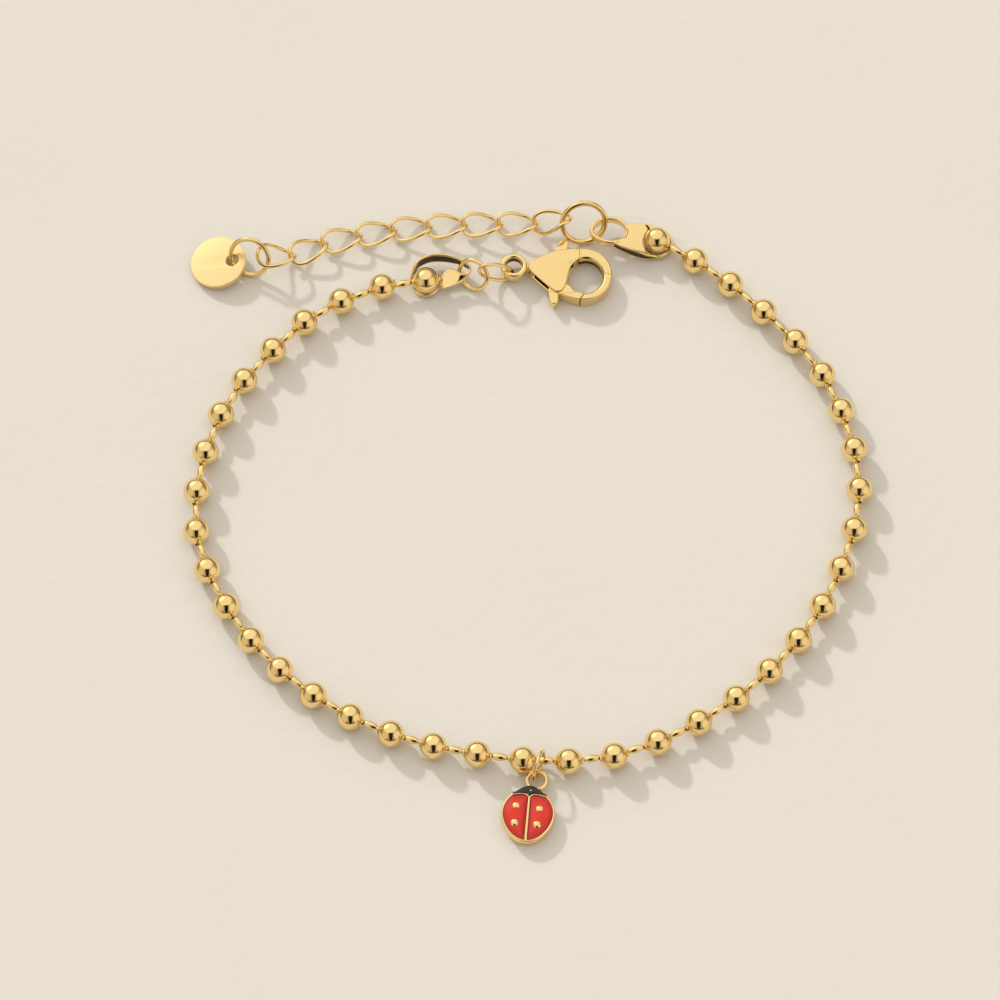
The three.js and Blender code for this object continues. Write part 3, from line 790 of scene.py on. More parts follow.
def polished_gold_plate(tree, place, finish):
    """Brass cast or drawn, tumbled to a mirror and plated with yellow gold. The eye sees clear
    reflections that are a little wavy, and a colour that is a shade deeper where the plate is
    thick."""
    thick = add_node(tree, GRAIN, {"Vector": place, "Scale": METRE / 1.8})
    tumbled = add_node(tree, GRAIN, {"Vector": place, "Scale": METRE / 0.5, "Detail": 4})
    return {
        "Base Color": {"Factor": thick, "A": (*finish.gold, 1), "B": (*finish.gold_deep, 1)},
        "Roughness": {**GRAIN_SPAN, "Value": tumbled, "To Min": 0.07, "To Max": 0.15},
        "Normal": {"Height": tumbled, "Strength": 0.06, "Distance": 0.01 * MM},
        "Metallic": 1.0,
    }


def painted_shade_inside(tree, place, finish):
    """Painted shade on the inner faces of caps and castings, where the gold looks dark: a dark
    brown with faint clouds. The eye sees a brown, half-matt metal."""
    cloud = add_node(tree, GRAIN, {"Vector": place, "Scale": METRE / 0.9, "Detail": 3})
    cast = add_node(tree, GRAIN, {"Vector": place, "Scale": METRE / 0.12})
    lighter = [c * 1.9 for c in finish.inside]
    return {
        "Base Color": {"Factor": cloud, "A": (*finish.inside, 1), "B": (*lighter, 1)},
        "Roughness": {**GRAIN_SPAN, "Value": cloud, "To Min": 0.26, "To Max": 0.4},
        "Normal": {"Height": cast, "Strength": 0.1, "Distance": 0.01 * MM},
        "Metallic": 1.0,
    }


def satin_gold_plate(tree, place, finish):
    """Stamped brass blank, tumbled in fine grit and plated. The eye sees a soft even sheen with
    the faint grain of the grit, drawn at a tenth of a millimetre so that it shows."""
    cloud = add_node(tree, GRAIN, {"Vector": place, "Scale": METRE / 2.5})
    grit = add_node(tree, GRAIN, {"Vector": place, "Scale": METRE / 0.1, "Detail": 1})
    return {
        "Base Color": {"Factor": cloud, "A": (*finish.satin, 1), "B": (*finish.gold, 1)},
        "Roughness": {**GRAIN_SPAN, "Value": cloud, "To Min": 0.26, "To Max": 0.34},
        "Normal": {"Height": grit, "Strength": 0.12, "Distance": 0.01 * MM},
        "Metallic": 1.0,
    }


def soft_enamel(tree, place, top, foot):
    """Soft enamel filled into a pocket and cured glossy. The eye sees a deep colour under a smooth
    and faintly uneven coat, which turns to its foot colour where the dome runs down to the metal;
    on the red enamel this darkening is painted shade."""
    pool = add_node(tree, GRAIN, {"Vector": place, "Scale": METRE / 1.6})
    waves = add_node(tree, GRAIN, {"Vector": place, "Scale": METRE / 0.8})
    # Mask towards the dome's foot by height: painted shade on the red enamel.
    height = add_node(tree, "ShaderNodeSeparateXYZ", {"Vector": place}, output="Z")
    rise = {"Value": height, "From Min": 1.02 * MM, "From Max": 1.2 * MM}
    down = add_node(tree, "ShaderNodeMapRange", {**rise, "To Min": 1.0, "To Max": 0.0})
    return {
        "Base Color": {"Factor": down, "A": (*top, 1), "B": (*foot, 1)},
        "Roughness": {**GRAIN_SPAN, "Value": pool, "To Min": 0.2, "To Max": 0.3},
        "Normal": {"Height": waves, "Strength": 0.1, "Distance": 0.02 * MM},
        "IOR": 1.52,
        "Coat Weight": 0.15,
        "Coat Roughness": 0.06,
    }


def red_soft_enamel(tree, place, finish):
    """The wing cases' enamel, a hot red with painted shade that darkens it to crimson towards each
    dome's foot.
    """
    return soft_enamel(tree, place, finish.red, finish.red_painted_shade)


def black_soft_enamel(tree, place, finish):
    """The head's enamel, a brown black that is a little lighter at its foot."""
    return soft_enamel(tree, place, finish.black, [c * 1.6 for c in finish.black])


def plaster_floor(tree, place, finish):
    """Fine lime plaster, floated smooth. The eye sees a pale matt ground with faint clouds."""
    cloud = add_node(tree, GRAIN, {"Vector": place, "Scale": METRE / 22, "Detail": 3})
    sand = {"Vector": place, "Scale": METRE / 1.6, "Detail": 5, "Roughness": 0.6}
    warm = [c * f for c, f in zip(finish.floor, (0.97, 0.95, 0.92))]
    return {
        "Base Color": {"Factor": cloud, "A": (*finish.floor, 1), "B": (*warm, 1)},
        "Roughness": 0.85,
        "Normal": {
            "Height": add_node(tree, GRAIN, sand),
            "Strength": 0.25,
            "Distance": 0.25 * MM,
        },
    }


def black_card(tree, place, finish):
    """Dead black paper. The eye sees it only as dark shapes in the metal."""
    cloud = add_node(tree, GRAIN, {"Vector": place, "Scale": METRE / 40})
    shades = {"A": (*linear("#050505"), 1), "B": (*linear("#0A0A0A"), 1)}
    return {"Base Color": {"Factor": cloud, **shades}, "Roughness": 1.0}


FINISHES = (
    polished_gold_plate,
    painted_shade_inside,
    satin_gold_plate,
    red_soft_enamel,
    black_soft_enamel,
    plaster_floor,
    black_card,
)


def finish_named(name):
    """The material of that name, made by its own function the first time it is asked for."""
    known = bpy.data.materials.get(name)
    if known:
        return known
    material = bpy.data.materials.new(name)
    material.use_nodes = True
    tree = material.node_tree
    tree.nodes.clear()
    place = add_node(tree, "ShaderNodeTexCoord", output="Object")
    maker = next(finish for finish in FINISHES if finish.__name__ == name)
    inputs = maker(tree, place, bpy.context.scene.bracelet_finish)
    for socket, value in inputs.items():
        if isinstance(value, dict):
            kind, settings = VARIED[socket]
            inputs[socket] = add_node(tree, kind, value, **settings)
    shader = add_node(tree, "ShaderNodeBsdfPrincipled", inputs)
    add_node(tree, "ShaderNodeOutputMaterial", {0: shader})
    return material


# ---- Beads and their links ----


def bead_profile(props):
    """Half the ball's outline with a collar round each end of its hole."""
    radius, reach = props.bead_radius / MM, props.collar_reach / MM
    collar = props.collar_radius / MM
    hole = collar - 0.1
    end = [
        (reach - 0.26, 0.0),
        (reach - 0.26, hole),
        (reach - 0.03, hole + 0.005),
        (reach - 0.008, hole + 0.02),
        (reach, (hole + collar) / 2),
        (reach - 0.008, collar - 0.02),
        (reach - 0.03, collar),
        (math.sqrt(radius**2 - collar**2) + 0.01, collar + 0.004),
    ]
    start = math.acos((collar + 0.03) / radius)
    ball = [(radius * math.sin(a), radius * math.cos(a)) for a in np.linspace(start, -start, 27)]
    return [(-z, r) for z, r in (end + ball + [(-z, r) for z, r in reversed(end)])]


def link_profile(props):
    """A drawn spindle: round in the middle, thin at both ends."""
    neck, wide = props.neck_radius / MM, props.link_radius / MM
    half = props.link_half_length / MM
    heights = np.linspace(-half, half, 21)
    body = [(z, neck + (wide - neck) * math.cos(math.pi * z / 2 / half)) for z in heights]
    tip = half + 0.2
    return [(-tip, 0.0), (-tip, neck * 0.96)] + body + [(tip, neck * 0.96), (tip, 0.0)]


def bead_string_tree():
    """Beads on the points and links on the edges between neighbouring points."""
    inputs = {"Bead": "Object", "Link": "Object", "Material": "Material"}
    tree, given = geometry_tree("bead_string", inputs)
    along = add_node(tree, CARRIED, {"Name": "along"}, data_type="FLOAT_VECTOR")
    turn = add_node(tree, "FunctionNodeAlignRotationToVector", {"Vector": along}, axis="Z")
    joined = tree.nodes.new("GeometryNodeJoinGeometry")
    for shape, mode in (("Bead", "VERTICES"), ("Link", "EDGES")):
        inputs = {"Object": given[shape]}
        picked = add_node(tree, "GeometryNodeObjectInfo", inputs, output="Geometry")
        tree.links.new(on_points(tree, given, picked, turn, mode), joined.inputs[0])
    close_tree(tree, joined.outputs[0], given)
    return tree


class BRACELET_OT_beads(bpy.types.Operator):
    """Ball beads strung with spindle links"""

    bl_idname = "bracelet.beads"
    bl_label = "Beads"

    def execute(self, context):
        props = context.scene.bracelet_beads
        thread = Line([(x, y) for _, x, y in THREAD_POINTS])
        spots = [thread.at(d) for d in bead_distances(thread)]
        patterns = {}
        for label, profile, segments in (
            ("Bead", bead_profile(props), props.segments),
            ("Link", link_profile(props), 24),
        ):
            vertices, faces, _ = lathe(profile, segments)
            name = label.lower() + "_pattern"
            patterns[label] = add_mesh(name, [Vector(v) * MM for v in vertices], faces)
        grow(
            "ball_beads",
            [placed(*point, BEAD_HEIGHT) for point, _ in spots],
            "along",
            [(*way, 0) for _, way in spots],
            bead_string_tree(),
            patterns,
            [f"bead_strand_{i + 1}" for i in range(STRAND_COUNT)],
            edges=[(i, i + 1) for i in range(len(spots) - 1)],
            sharp=60,
        )
        for pattern in patterns.values():
            bpy.data.objects.remove(pattern)
        return {"FINISHED"}


# ---- Wire pieces ----


def wire_on_points(tree, path, given):
    """Round wire bent along a path, on each point, turned as the point says."""
    round_wire = {"Resolution": WIRE_SIDES, "Radius": given["Wire Radius"]}
    section = add_node(tree, "GeometryNodeCurvePrimitiveCircle", round_wire)
    inputs = {"Fill Caps": True, "Curve": path, "Profile Curve": section}
    wire = add_node(tree, "GeometryNodeCurveToMesh", inputs)
    turn = add_node(tree, CARRIED, {"Name": "turn"}, data_type="FLOAT_VECTOR")
    rotation = add_node(tree, "FunctionNodeEulerToRotation", {0: turn})
    close_tree(tree, on_points(tree, given, wire, rotation), given)


def jump_ring_tree():
    """A cut ring of round wire on each point."""
    labels = ("Radius", "Wire Radius", "Start", "Cut")
    inputs = {**dict.fromkeys(labels, "Float"), "Material": "Material"}
    tree, given = geometry_tree("jump_ring", inputs)
    whole = {0: 2 * math.pi, 1: given["Cut"]}
    sizes = {"Resolution": RING_STEPS, "Radius": given["Radius"], "Start Angle": given["Start"]}
    sizes["Sweep Angle"] = add_node(tree, "ShaderNodeMath", whole, operation="SUBTRACT")
    wire_on_points(tree, add_node(tree, "GeometryNodeCurveArc", sizes), given)
    return tree


def curb_link_tree():
    """An oval link whose sides are twisted out of its plane, on each point."""
    labels = ("Half Length", "Half Width", "Twist", "Wire Radius")
    inputs = {**dict.fromkeys(labels, "Float"), "Material": "Material"}
    tree, given = geometry_tree("curb_link", inputs)
    unit = {"Resolution": CURB_STEPS, "Radius": 1.0}
    ring = add_node(tree, "GeometryNodeCurvePrimitiveCircle", unit)
    place = add_node(tree, "GeometryNodeInputPosition")
    x, y = (add_node(tree, "ShaderNodeSeparateXYZ", {0: place}, output=axis) for axis in "XY")
    saddle = add_node(tree, "ShaderNodeMath", {0: x, 1: y}, operation="MULTIPLY")
    saddle = add_node(tree, "ShaderNodeMath", {0: saddle, 1: -2.0}, operation="MULTIPLY")
    scaled = {}
    for i, (axis, size) in enumerate(((x, "Half Length"), (y, "Half Width"), (saddle, "Twist"))):
        product = {0: axis, 1: given[size]}
        scaled[i] = add_node(tree, "ShaderNodeMath", product, operation="MULTIPLY")
    oval = add_node(tree, "ShaderNodeCombineXYZ", scaled)
    shaped = add_node(tree, "GeometryNodeSetPosition", {"Geometry": ring, "Position": oval})
    wire_on_points(tree, shaped, given)
    return tree


def link_turn(heading, pitch, roll):
    """Roll about the link's length, then its slope, then its heading."""
    turns = ((heading, "Z"), (-pitch, "Y"), (roll, "X"))
    first, second, third = (Matrix.Rotation(turn, 3, axis) for turn, axis in turns)
    return (first @ second @ third).to_euler("XYZ")


class BRACELET_OT_rings(bpy.types.Operator):
    """Jump rings of round wire"""

    bl_idname = "bracelet.rings"
    bl_label = "Jump rings"

    def execute(self, context):
        tree = jump_ring_tree()
        for name, (centre, axis, radius, wire, cut) in JUMP_RINGS.items():
            turn = UP.rotation_difference(Vector(axis).normalized()).to_euler()
            sizes = {
                "Radius": radius * MM,
                "Wire Radius": wire / 2 * MM,
                "Start": math.radians(cut),
                "Cut": context.scene.bracelet_wire.ring_cut,
            }
            grow(name + "_wire", [placed(*centre)], "turn", [turn], tree, sizes, [name])
        return {"FINISHED"}


class BRACELET_OT_extender(bpy.types.Operator):
    """Twisted curb links of the extender, and the clasp's own link"""

    bl_idname = "bracelet.extender"
    bl_label = "Extender and clasp link"

    def execute(self, context):
        props = context.scene.bracelet_wire
        tree = curb_link_tree()
        line = Line(EXTENDER_POINTS)
        centres, turns = [], []
        for i in range(EXTENDER_LINKS):
            centre, along = line.at((i + 0.5) / EXTENDER_LINKS * line.lengths[-1])
            centres.append(placed(*centre))
            turn = link_turn(math.atan2(along[1], along[0]), math.asin(along[2]), CURB_ROLL)
            turns.append(turn)
        sizes = {
            "Half Length": props.curb_half_length,
            "Half Width": props.curb_half_width,
            "Twist": props.curb_twist,
            "Wire Radius": props.curb_wire / 2,
        }
        nodes = [f"extender_link_{i + 1}" for i in range(EXTENDER_LINKS)]
        grow("extender_chain", centres, "turn", turns, tree, sizes, nodes)
        sizes = {
            "Half Length": props.clasp_link_half_length,
            "Half Width": props.clasp_link_half_width,
            "Twist": 0.0,
            "Wire Radius": props.clasp_link_wire / 2,
        }
        centres, turns = [placed(*CLASP_LINK_AT)], [link_turn(*CLASP_LINK_TURN)]
        grow("clasp_link_wire", centres, "turn", turns, tree, sizes, ["clasp_link"])
        return {"FINISHED"}


# ---- End caps ----


class BRACELET_OT_left_cap(bpy.types.Operator):
    """Open end cap: a strap round the first bead, with a loop and a folded leaf"""

    bl_idname = "bracelet.left_cap"
    bl_label = "Open end cap"

    def execute(self, context):
        thickness = context.scene.bracelet_metal.strap_thickness / MM
        rows = cup_rows(THREAD_POINTS[0][1:], start=-22, end=-172, count=9, cup=LEFT_CUP)
        # The strap's far face gets painted shade.
        parts = [
            strip(rows + LEFT_STRAP, thickness, edge=0.09, steps=12, shaded_sides=FAR_FACE),
            ribbon(RETURN_ARM, thickness * 0.9),
        ]
        for side in (slice(0, 3), slice(3, 6)):
            rolled_edge = Line([row[side] for row in RETURN_ARM], steps=8)
            parts.append(tube(rolled_edge.samples, 0.1))
        finish_piece("open_end_cap", parts, "left_end_cap", (GOLD, SHADED_INSIDE))
        return {"FINISHED"}


class BRACELET_OT_right_cap(bpy.types.Operator):
    """Folded end cap: an eye, a flat plate and a cup under the last bead"""

    bl_idname = "bracelet.right_cap"
    bl_label = "Folded end cap"

    def execute(self, context):
        thickness = context.scene.bracelet_metal.cap_thickness / MM
        eye = [(x, y, EYE_LOW, PLATE_TOP) for x, y in EYE_LINE]
        plate = smooth_outline(CAP_PLATE, corners=(3, 5, 9, 10), steps=5)
        fold = smooth_outline(CAP_FOLD, corners=(0, 4, 5), steps=4)
        cup = cup_rows(THREAD_POINTS[-1][1:], start=0, end=330, count=12, cup=RIGHT_CUP)
        # The front strip's far face and the cup's near face get painted shade.
        parts = [
            strip(eye, thickness + 0.14, edge=0.15, steps=14, closed=True),
            slab([fold], 1.2, PLATE_TOP - 0.08, edge=0.07),
            slab([plate], PLATE_UNDER, PLATE_TOP, edge=0.08),
            # Painted shade in the slit, made with the second material.
            slab([CAP_SLIT_SHADE], PLATE_UNDER, PLATE_TOP - 0.06, edge=0.02, kind=1),
            strip(FRONT_STRIP, thickness, edge=0.1, steps=14, shaded_sides=FAR_FACE),
            strip(cup, thickness, edge=0.1, steps=8, closed=True, shaded_sides=NEAR_FACE),
        ]
        finish_piece("folded_end_cap", parts, "right_end_cap", (GOLD, SHADED_INSIDE))
        return {"FINISHED"}


# ---- Lobster clasp ----


def clasp_hook(start, end):
    """Outer and inner line of the hook between two angles on its outer edge."""
    count = max(int(abs(start - end) / 3), 2)
    outers, inners = [], []
    for a in np.linspace(start, end, count):
        b = np.interp(a, OUTER_TURNS, HOLE_TURNS)
        outers += arc(0, 0, HOOK_RADIUS, HOOK_RADIUS, a, a, 1)
        inners += arc(*HOLE, b, b, 1)
    return outers, inners


class BRACELET_OT_clasp_body(bpy.types.Operator):
    """Lobster clasp: eye, neck, two plates and the hook, one casting"""

    bl_idname = "bracelet.clasp_body"
    bl_label = "Clasp body"

    def execute(self, context):
        props = context.scene.bracelet_metal
        edge = props.edge_radius / MM
        plate = props.plate_thickness / MM
        top = CLASP_THICKNESS
        outline = smooth_outline(CLASP_PLATE, corners=(6, 7), steps=6)
        spine = [tuple(p) for p in Line(SPINE_FAR, steps=6).samples] + SPINE_NEAR
        neck = smooth_outline(CLASP_NECK, corners=(0, 2, 3, 5), steps=4)
        lug = smooth_outline(CLASP_LUG, corners=(0, 1), steps=5)
        eye = [circle(*CLASP_EYE_AT, radius, 72) for radius in CLASP_EYE_RADII]
        root = clasp_hook(HOOK_ROOT, HOOK_SEAM[0])
        tip = [line + [end] for line, end in zip(clasp_hook(HOOK_SEAM[1], HOOK_END), HOOK_TIP)]
        # The hook's and the eye's near faces get painted shade.
        parts = [
            pillow(outline, top - plate, top - 0.1, edge, 0.17, PLATE_MIDDLE),
            slab([outline], 0, plate, edge),
            rail(*root, 0, top, HOOK_EDGES, shaded_sides=NEAR_FACE),
            rail(*tip, 0, top, HOOK_EDGES, shaded_sides=NEAR_FACE),
            rail(*clasp_hook(*SEAM_FLOOR), 0.08, top - 0.14, (0.36, 0.22)),
            slab([spine], plate * 0.5, top - plate * 0.6, edge=0.05),
            rail(*eye, *CLASP_EYE_HEIGHTS, (0.2, 0.22), closed=True, shaded_sides=NEAR_FACE),
            slab([neck], NECK_LOW, top - 0.04, edge=0.2),
            slab([lug], 0.3, 0.8, edge=0.1),
        ]
        part = put(merged(parts), *CLASP_AT, CLASP_TURN)
        finish_piece("clasp_casting", [part], "clasp_body", (GOLD, SHADED_INSIDE))
        return {"FINISHED"}


class BRACELET_OT_clasp_lever(bpy.types.Operator):
    """The clasp's gate with its arm and thumb tab"""

    bl_idname = "bracelet.clasp_lever"
    bl_label = "Clasp lever"

    def execute(self, context):
        arm = ARM_START + arc(*HOLE, 216, 262, 4) + ARM_END
        clear = arc(*PIVOT, GATE_RADIUS, GATE_RADIUS, -90, -66, 4)
        gate = clear + arc(*HOLE, 251, 275, 3) + GATE_OUTSIDE
        arm = smooth_outline(arm, corners=(0, 1, 9, 11), steps=5)
        tab = smooth_outline(THUMB_TAB, corners=(0, 1), steps=6)
        gate = smooth_outline(gate, corners=(0, 6, 7), steps=5)
        hub = [circle(*PIVOT, radius, 24) for radius in (0.55, 0.35)]
        parts = [
            slab([arm], LEVER_LOW, LEVER_HIGH, edge=0.1),
            slab([tab], LEVER_LOW - 0.03, LEVER_HIGH + 0.03, edge=0.16, resolution=5),
            slab([gate], 0.08, CLASP_THICKNESS - 0.05, edge=0.13, resolution=5),
            slab(hub, LEVER_LOW, LEVER_HIGH, edge=0.04),
        ]
        part = put(merged(parts), *CLASP_AT, CLASP_TURN)
        finish_piece("clasp_gate", [part], "clasp_lever", body=LEVER_BODY)
        return {"FINISHED"}


# ---- Ladybird charm ----


def charm_edge(turn):
    """The body's radius at an angle: a round that draws out above and below."""
    rise = math.sin(turn)
    return CHARM_SIDE + CHARM_POINT * abs(rise) ** (12 if rise > 0 else 4)


def charm_line(turns, inset):
    """Points along the body's outline, at some distance inside it."""
    radii = [charm_edge(a) - inset for a in turns]
    return [(r * math.cos(a), r * math.sin(a)) for r, a in zip(radii, turns)]


def charm_outline(inset=0.0, count=96):
    return charm_line(np.linspace(0, 2 * math.pi, count, endpoint=False), inset)


def shoulder_line(drop, inset):
    """The wing cases' upper edge, from side to side with its notch at the middle."""
    lowered = [(x, y - drop) for x, y in SHOULDER]
    left = Line(lowered[: SHOULDER_NOTCH + 1], steps=12).samples
    right = Line(lowered[SHOULDER_NOTCH:], steps=12).samples
    points = [tuple(p) for p in (*left, *right[1:])]
    return [p for p in points if math.hypot(*p) < charm_edge(math.atan2(p[1], p[0])) - inset]


def wing_outline(side, inset):
    """One wing case: its share of the body between the rim, the middle bar and the shoulder."""
    top = [p for p in shoulder_line(0.14, inset) if p[0] * side > WING_GAP]
    top.sort(key=lambda p: -p[0] * side)
    corner = math.atan2(top[0][1], top[0][0] * side)
    edge = [(p[0] * side, p[1]) for p in charm_outline(inset, 240)]
    below = sorted((math.atan2(y, x), x, y) for x, y in edge if x > WING_GAP)
    return [(x * side, y) for a, x, y in below if a < corner - 0.01] + top


def head_outline(inset):
    low = shoulder_line(-0.01, inset)
    first, last = (math.atan2(p[1], p[0]) for p in (low[-1], low[0]))
    return low + charm_line(np.linspace(first, last, 40), inset)[1:-1]


def dome(x, y, low, radius, height):
    """A small raised drop of metal with steep sides."""
    rows = [(low - 0.1, 0.0), (low - 0.1, radius)]
    for a in np.radians([0, 14, 28, 42, 56, 70, 82]):
        rows.append((low + height * math.sin(a), radius * math.cos(a)))
    rows.append((low + height, 0.0))
    return put(lathe(rows, 20), x, y)


class BRACELET_OT_charm(bpy.types.Operator):
    """Ladybird charm's casting: loop, body, rim, middle bar and dots"""

    bl_idname = "bracelet.charm"
    bl_label = "Charm casting"

    def execute(self, context):
        loop = [circle(*CHARM_LOOP, radius, 72) for radius in CHARM_LOOP_RADII]
        shoulder = shoulder_line(0.07, 0.1)
        first, last = (math.atan2(p[1], p[0]) for p in (shoulder[0], shoulder[-1]))
        rim = charm_line(np.linspace(first, 2 * math.pi + last, 90), RIM_INSET)
        bar = Line(MIDDLE_BAR, steps=8).samples
        parts = [
            slab([charm_outline()], 0, CHARM_TOP, edge=0.34, resolution=7),
            rail(*loop, *CHARM_LOOP_HEIGHTS, (0.16, 0.16), closed=True),
            tube([(*p, RIM_WIRE[0]) for p in rim], RIM_WIRE[1], flat=1.1),
            tube(bar, lambda t: 0.11 + 0.07 * t, flat=0.8),
            tube([(*p, SHOULDER_WIRE[0]) for p in shoulder], SHOULDER_WIRE[1], flat=1.2),
        ]
        parts += [dome(*dot, *DOT) for dot in CHARM_DOTS]
        parts.append(dome(*NOSE_AT, *NOSE))
        part = put(merged(parts), *CHARM_AT, CHARM_TURN)
        finish_piece("charm_casting", [part], "charm_base")
        return {"FINISHED"}


class BRACELET_OT_enamel(bpy.types.Operator):
    """Red wing cases and the black head"""

    bl_idname = "bracelet.enamel"
    bl_label = "Enamel"

    def execute(self, context):
        for side, name in ((-1, "left"), (1, "right")):
            outline = wing_outline(side, ENAMEL_INSET)
            centre = (side * WING_CENTRE[0], WING_CENTRE[1])
            part = pillow(outline, *WING_HEIGHTS, edge=0.06, crown=0.25, centre=centre)
            self.fill_pocket("wing_" + name, part, "enamel_" + name, "red")
        outline = head_outline(HEAD_INSET)
        part = pillow(outline, *HEAD_HEIGHTS, edge=0.16, crown=0.04, centre=HEAD_CENTRE)
        self.fill_pocket("head_field", part, "enamel_head", "black")
        return {"FINISHED"}

    def fill_pocket(self, name, part, node, shade):
        """Sets an enamel field in its place on the charm."""
        part = put(part, *CHARM_AT, CHARM_TURN)
        finish_piece(name, [part], node, (shade + "_soft_enamel",))


# ---- Tag and rivet ----


class BRACELET_OT_tag(bpy.types.Operator):
    """Round tag on the extender's end"""

    bl_idname = "bracelet.tag"
    bl_label = "Round tag"

    def execute(self, context):
        props = context.scene.bracelet_metal
        radius, half = props.tag_radius / MM, props.tag_thickness / MM / 2
        outlines = [circle(0, 0, radius, 120), circle(TAG_HOLE_AT, 0, props.tag_hole / MM, 60)]
        vertices, faces, kinds = slab(outlines, -half, half, edge=0.07, resolution=5)
        lean = Matrix.Rotation(-TAG_TILT, 3, "Y")
        height = radius * math.sin(TAG_TILT) + half * math.cos(TAG_TILT)
        place = Vector((*TAG_AT, height))
        part = [lean @ Vector(v) + place for v in vertices], faces, kinds
        finish_piece("round_tag", [part], "tag_disc", ("satin_gold_plate",))
        return {"FINISHED"}


class BRACELET_OT_hidden_pin(bpy.types.Operator):
    """Finish of the lever's rivet, which stays as its solid is"""

    bl_idname = "bracelet.hidden_pin"
    bl_label = "Lever's rivet"

    def execute(self, context):
        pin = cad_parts["clasp_pin"]
        pin.data.materials.clear()
        pin.data.materials.append(finish_named(GOLD))
        return {"FINISHED"}


# ---- Stage ----


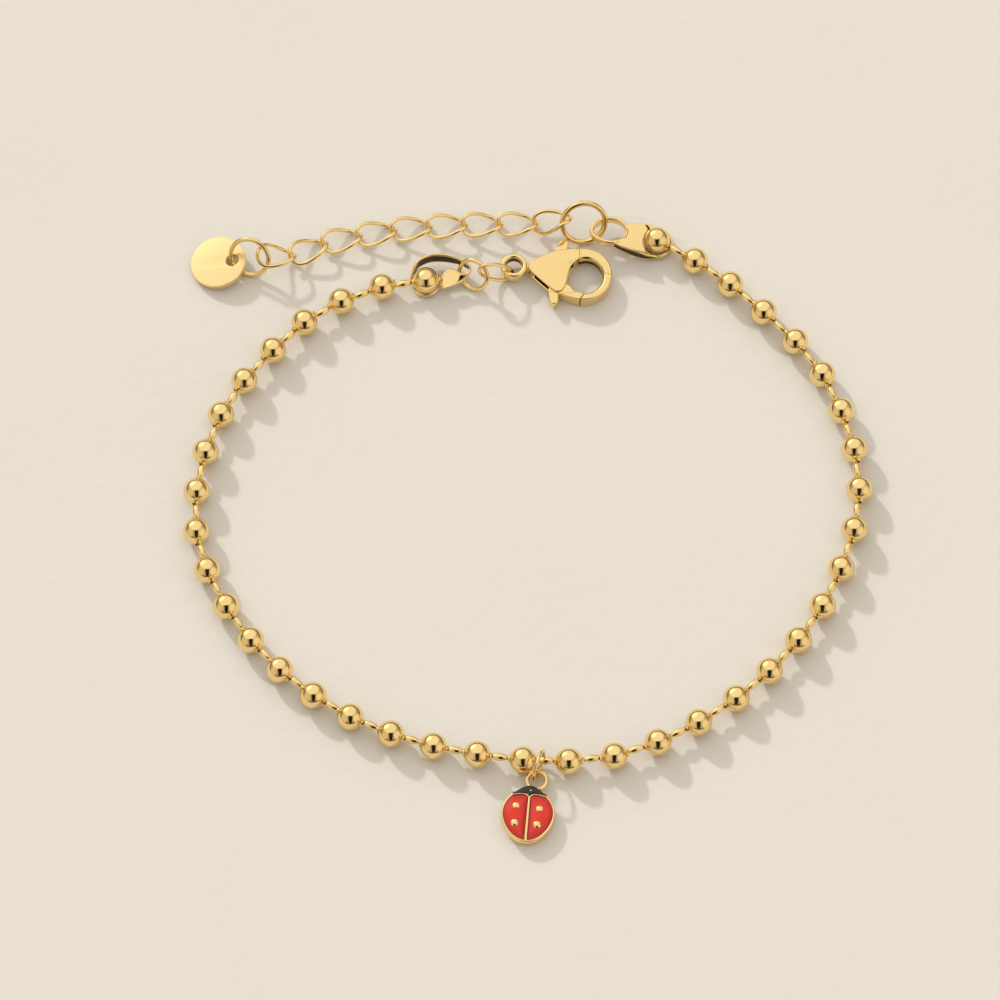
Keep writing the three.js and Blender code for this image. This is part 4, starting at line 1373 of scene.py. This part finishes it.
class BRACELET_OT_stage(bpy.types.Operator):
    """Pale floor, soft light and the camera"""

    bl_idname = "bracelet.stage"
    bl_label = "Stage"

    def execute(self, context):
        props = context.scene.bracelet_stage
        self.make_floor_and_card()
        self.make_light(props)
        self.make_camera(props)
        context.scene.view_settings.view_transform = "Standard"
        return {"FINISHED"}

    def make_floor_and_card(self):
        """The floor, and a black card in front that is seen only as a reflection."""
        size = FLOOR_HALF
        ground = [(-size, -size, 0), (size, -size, 0), (size, size, 0), (-size, size, 0)]
        face = [(0, 1, 2, 3)]
        floor = add_mesh("floor", ground, face, [finish_named("plaster_floor")])
        floor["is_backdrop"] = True
        card = add_mesh("card", BLACK_CARD, face, [finish_named("black_card")])
        card.visible_camera = False
        card.visible_diffuse = False
        card.visible_shadow = False
        card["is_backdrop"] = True

    def make_light(self, props):
        sun = bpy.data.lights.new("key", "SUN")
        sun.energy = props.sun_strength
        sun.color = linear(SUN_COLOUR)
        sun.angle = SUN_WIDTH
        key = add_object("key", sun)
        key.visible_glossy = False
        away = Vector((*SUN_WAY, 0)).normalized() * math.cos(props.sun_elevation)
        away.z = -math.sin(props.sun_elevation)
        key.rotation_euler = away.to_track_quat("-Z", "Y").to_euler()
        self.make_surroundings(props, -away)

    def make_surroundings(self, props, sun_way):
        """A wide soft panel above and behind, paler walls in front and a dark line of horizon."""
        world = bpy.data.worlds.new("surroundings")
        bpy.context.scene.world = world
        world.use_nodes = True
        tree = world.node_tree
        tree.nodes.clear()
        way = add_node(tree, "ShaderNodeTexCoord", output="Generated")

        def patch(centre, inner, outer):
            """1 within the inner angle of a direction, 0 outside the outer angle."""
            both = {0: way, 1: tuple(Vector(centre).normalized())}
            near = add_node(tree, "ShaderNodeVectorMath", both, operation="DOT_PRODUCT")
            start, end = (math.cos(math.radians(angle)) for angle in (outer, inner))
            span = {0: near, 1: start, 2: end}
            return add_node(
                tree, "ShaderNodeMapRange", span, interpolation_type="SMOOTHSTEP"
            )

        height = add_node(tree, "ShaderNodeSeparateXYZ", {0: way}, output="Z")
        ramp = tree.nodes.new("ShaderNodeValToRGB")
        tree.links.new(height, ramp.inputs["Fac"])
        stops = ramp.color_ramp.elements
        for i, (position, code) in enumerate(SKY):
            stop = stops[i] if i < 2 else stops.new(position)
            stop.position, stop.color = position, (*linear(code), 1)
        light = ramp.outputs[0]
        for centre, inner, outer, code in PANELS:
            inputs = {"Factor": patch(centre, inner, outer), "A": light, "B": (*linear(code), 1)}
            light = add_node(tree, "ShaderNodeMix", inputs, data_type="RGBA")
        glow = {0: patch(sun_way, *GLOW_ANGLES), 1: props.sun_glow}
        glow = add_node(tree, "ShaderNodeMath", glow, operation="MULTIPLY")
        total = {0: glow, 1: props.fill_strength}
        strength = add_node(tree, "ShaderNodeMath", total, operation="ADD")
        shine = add_node(tree, "ShaderNodeBackground", {"Color": light, "Strength": strength})
        add_node(tree, "ShaderNodeOutputWorld", {0: shine})

    def make_camera(self, props):
        camera = bpy.data.cameras.new("camera")
        camera.sensor_width = SENSOR
        camera.lens = VIEWS_PER_METRE * SENSOR * props.camera_distance
        camera.clip_start, camera.clip_end = 0.05, 5
        holder = add_object("camera", camera)
        back = Vector((0, -math.cos(props.camera_elevation), math.sin(props.camera_elevation)))
        holder.location = placed(*VIEW_MIDDLE) + back * props.camera_distance
        holder.rotation_euler = (-back).to_track_quat("-Z", "Y").to_euler()
        bpy.context.scene.camera = holder


# ---- Panel and start ----

STEPS = (
    BRACELET_OT_beads,
    BRACELET_OT_rings,
    BRACELET_OT_extender,
    BRACELET_OT_left_cap,
    BRACELET_OT_right_cap,
    BRACELET_OT_clasp_body,
    BRACELET_OT_clasp_lever,
    BRACELET_OT_charm,
    BRACELET_OT_enamel,
    BRACELET_OT_tag,
    BRACELET_OT_hidden_pin,
    BRACELET_OT_stage,
)
SETTINGS = {
    "bracelet_beads": BraceletBeads,
    "bracelet_wire": BraceletWire,
    "bracelet_metal": BraceletMetal,
    "bracelet_finish": BraceletFinish,
    "bracelet_stage": BraceletStage,
}


class BRACELET_PT_panel(bpy.types.Panel):
    """Lists the bracelet's steps"""

    bl_idname = "BRACELET_PT_panel"
    bl_label = "Bracelet"
    bl_space_type = "VIEW_3D"
    bl_region_type = "UI"
    bl_category = "Bracelet"

    def draw(self, context):
        for step in STEPS:
            self.layout.operator(step.bl_idname)


def register():
    for kind in (*SETTINGS.values(), *STEPS, BRACELET_PT_panel):
        bpy.utils.register_class(kind)
    for name, kind in SETTINGS.items():
        setattr(bpy.types.Scene, name, bpy.props.PointerProperty(type=kind))


def unregister():
    for name in SETTINGS:
        delattr(bpy.types.Scene, name)
    for kind in reversed((*SETTINGS.values(), *STEPS, BRACELET_PT_panel)):
        bpy.utils.unregister_class(kind)


def main():
    register()
    for step in STEPS:
        group, action = step.bl_idname.split(".")
        getattr(getattr(bpy.ops, group), action)()
    boxes = {"cad": CAD_BOX, "visual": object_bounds()}
    sizes = {name: [list(corner) for corner in box] for name, box in boxes.items()}


if __name__ == "__main__":
    main()
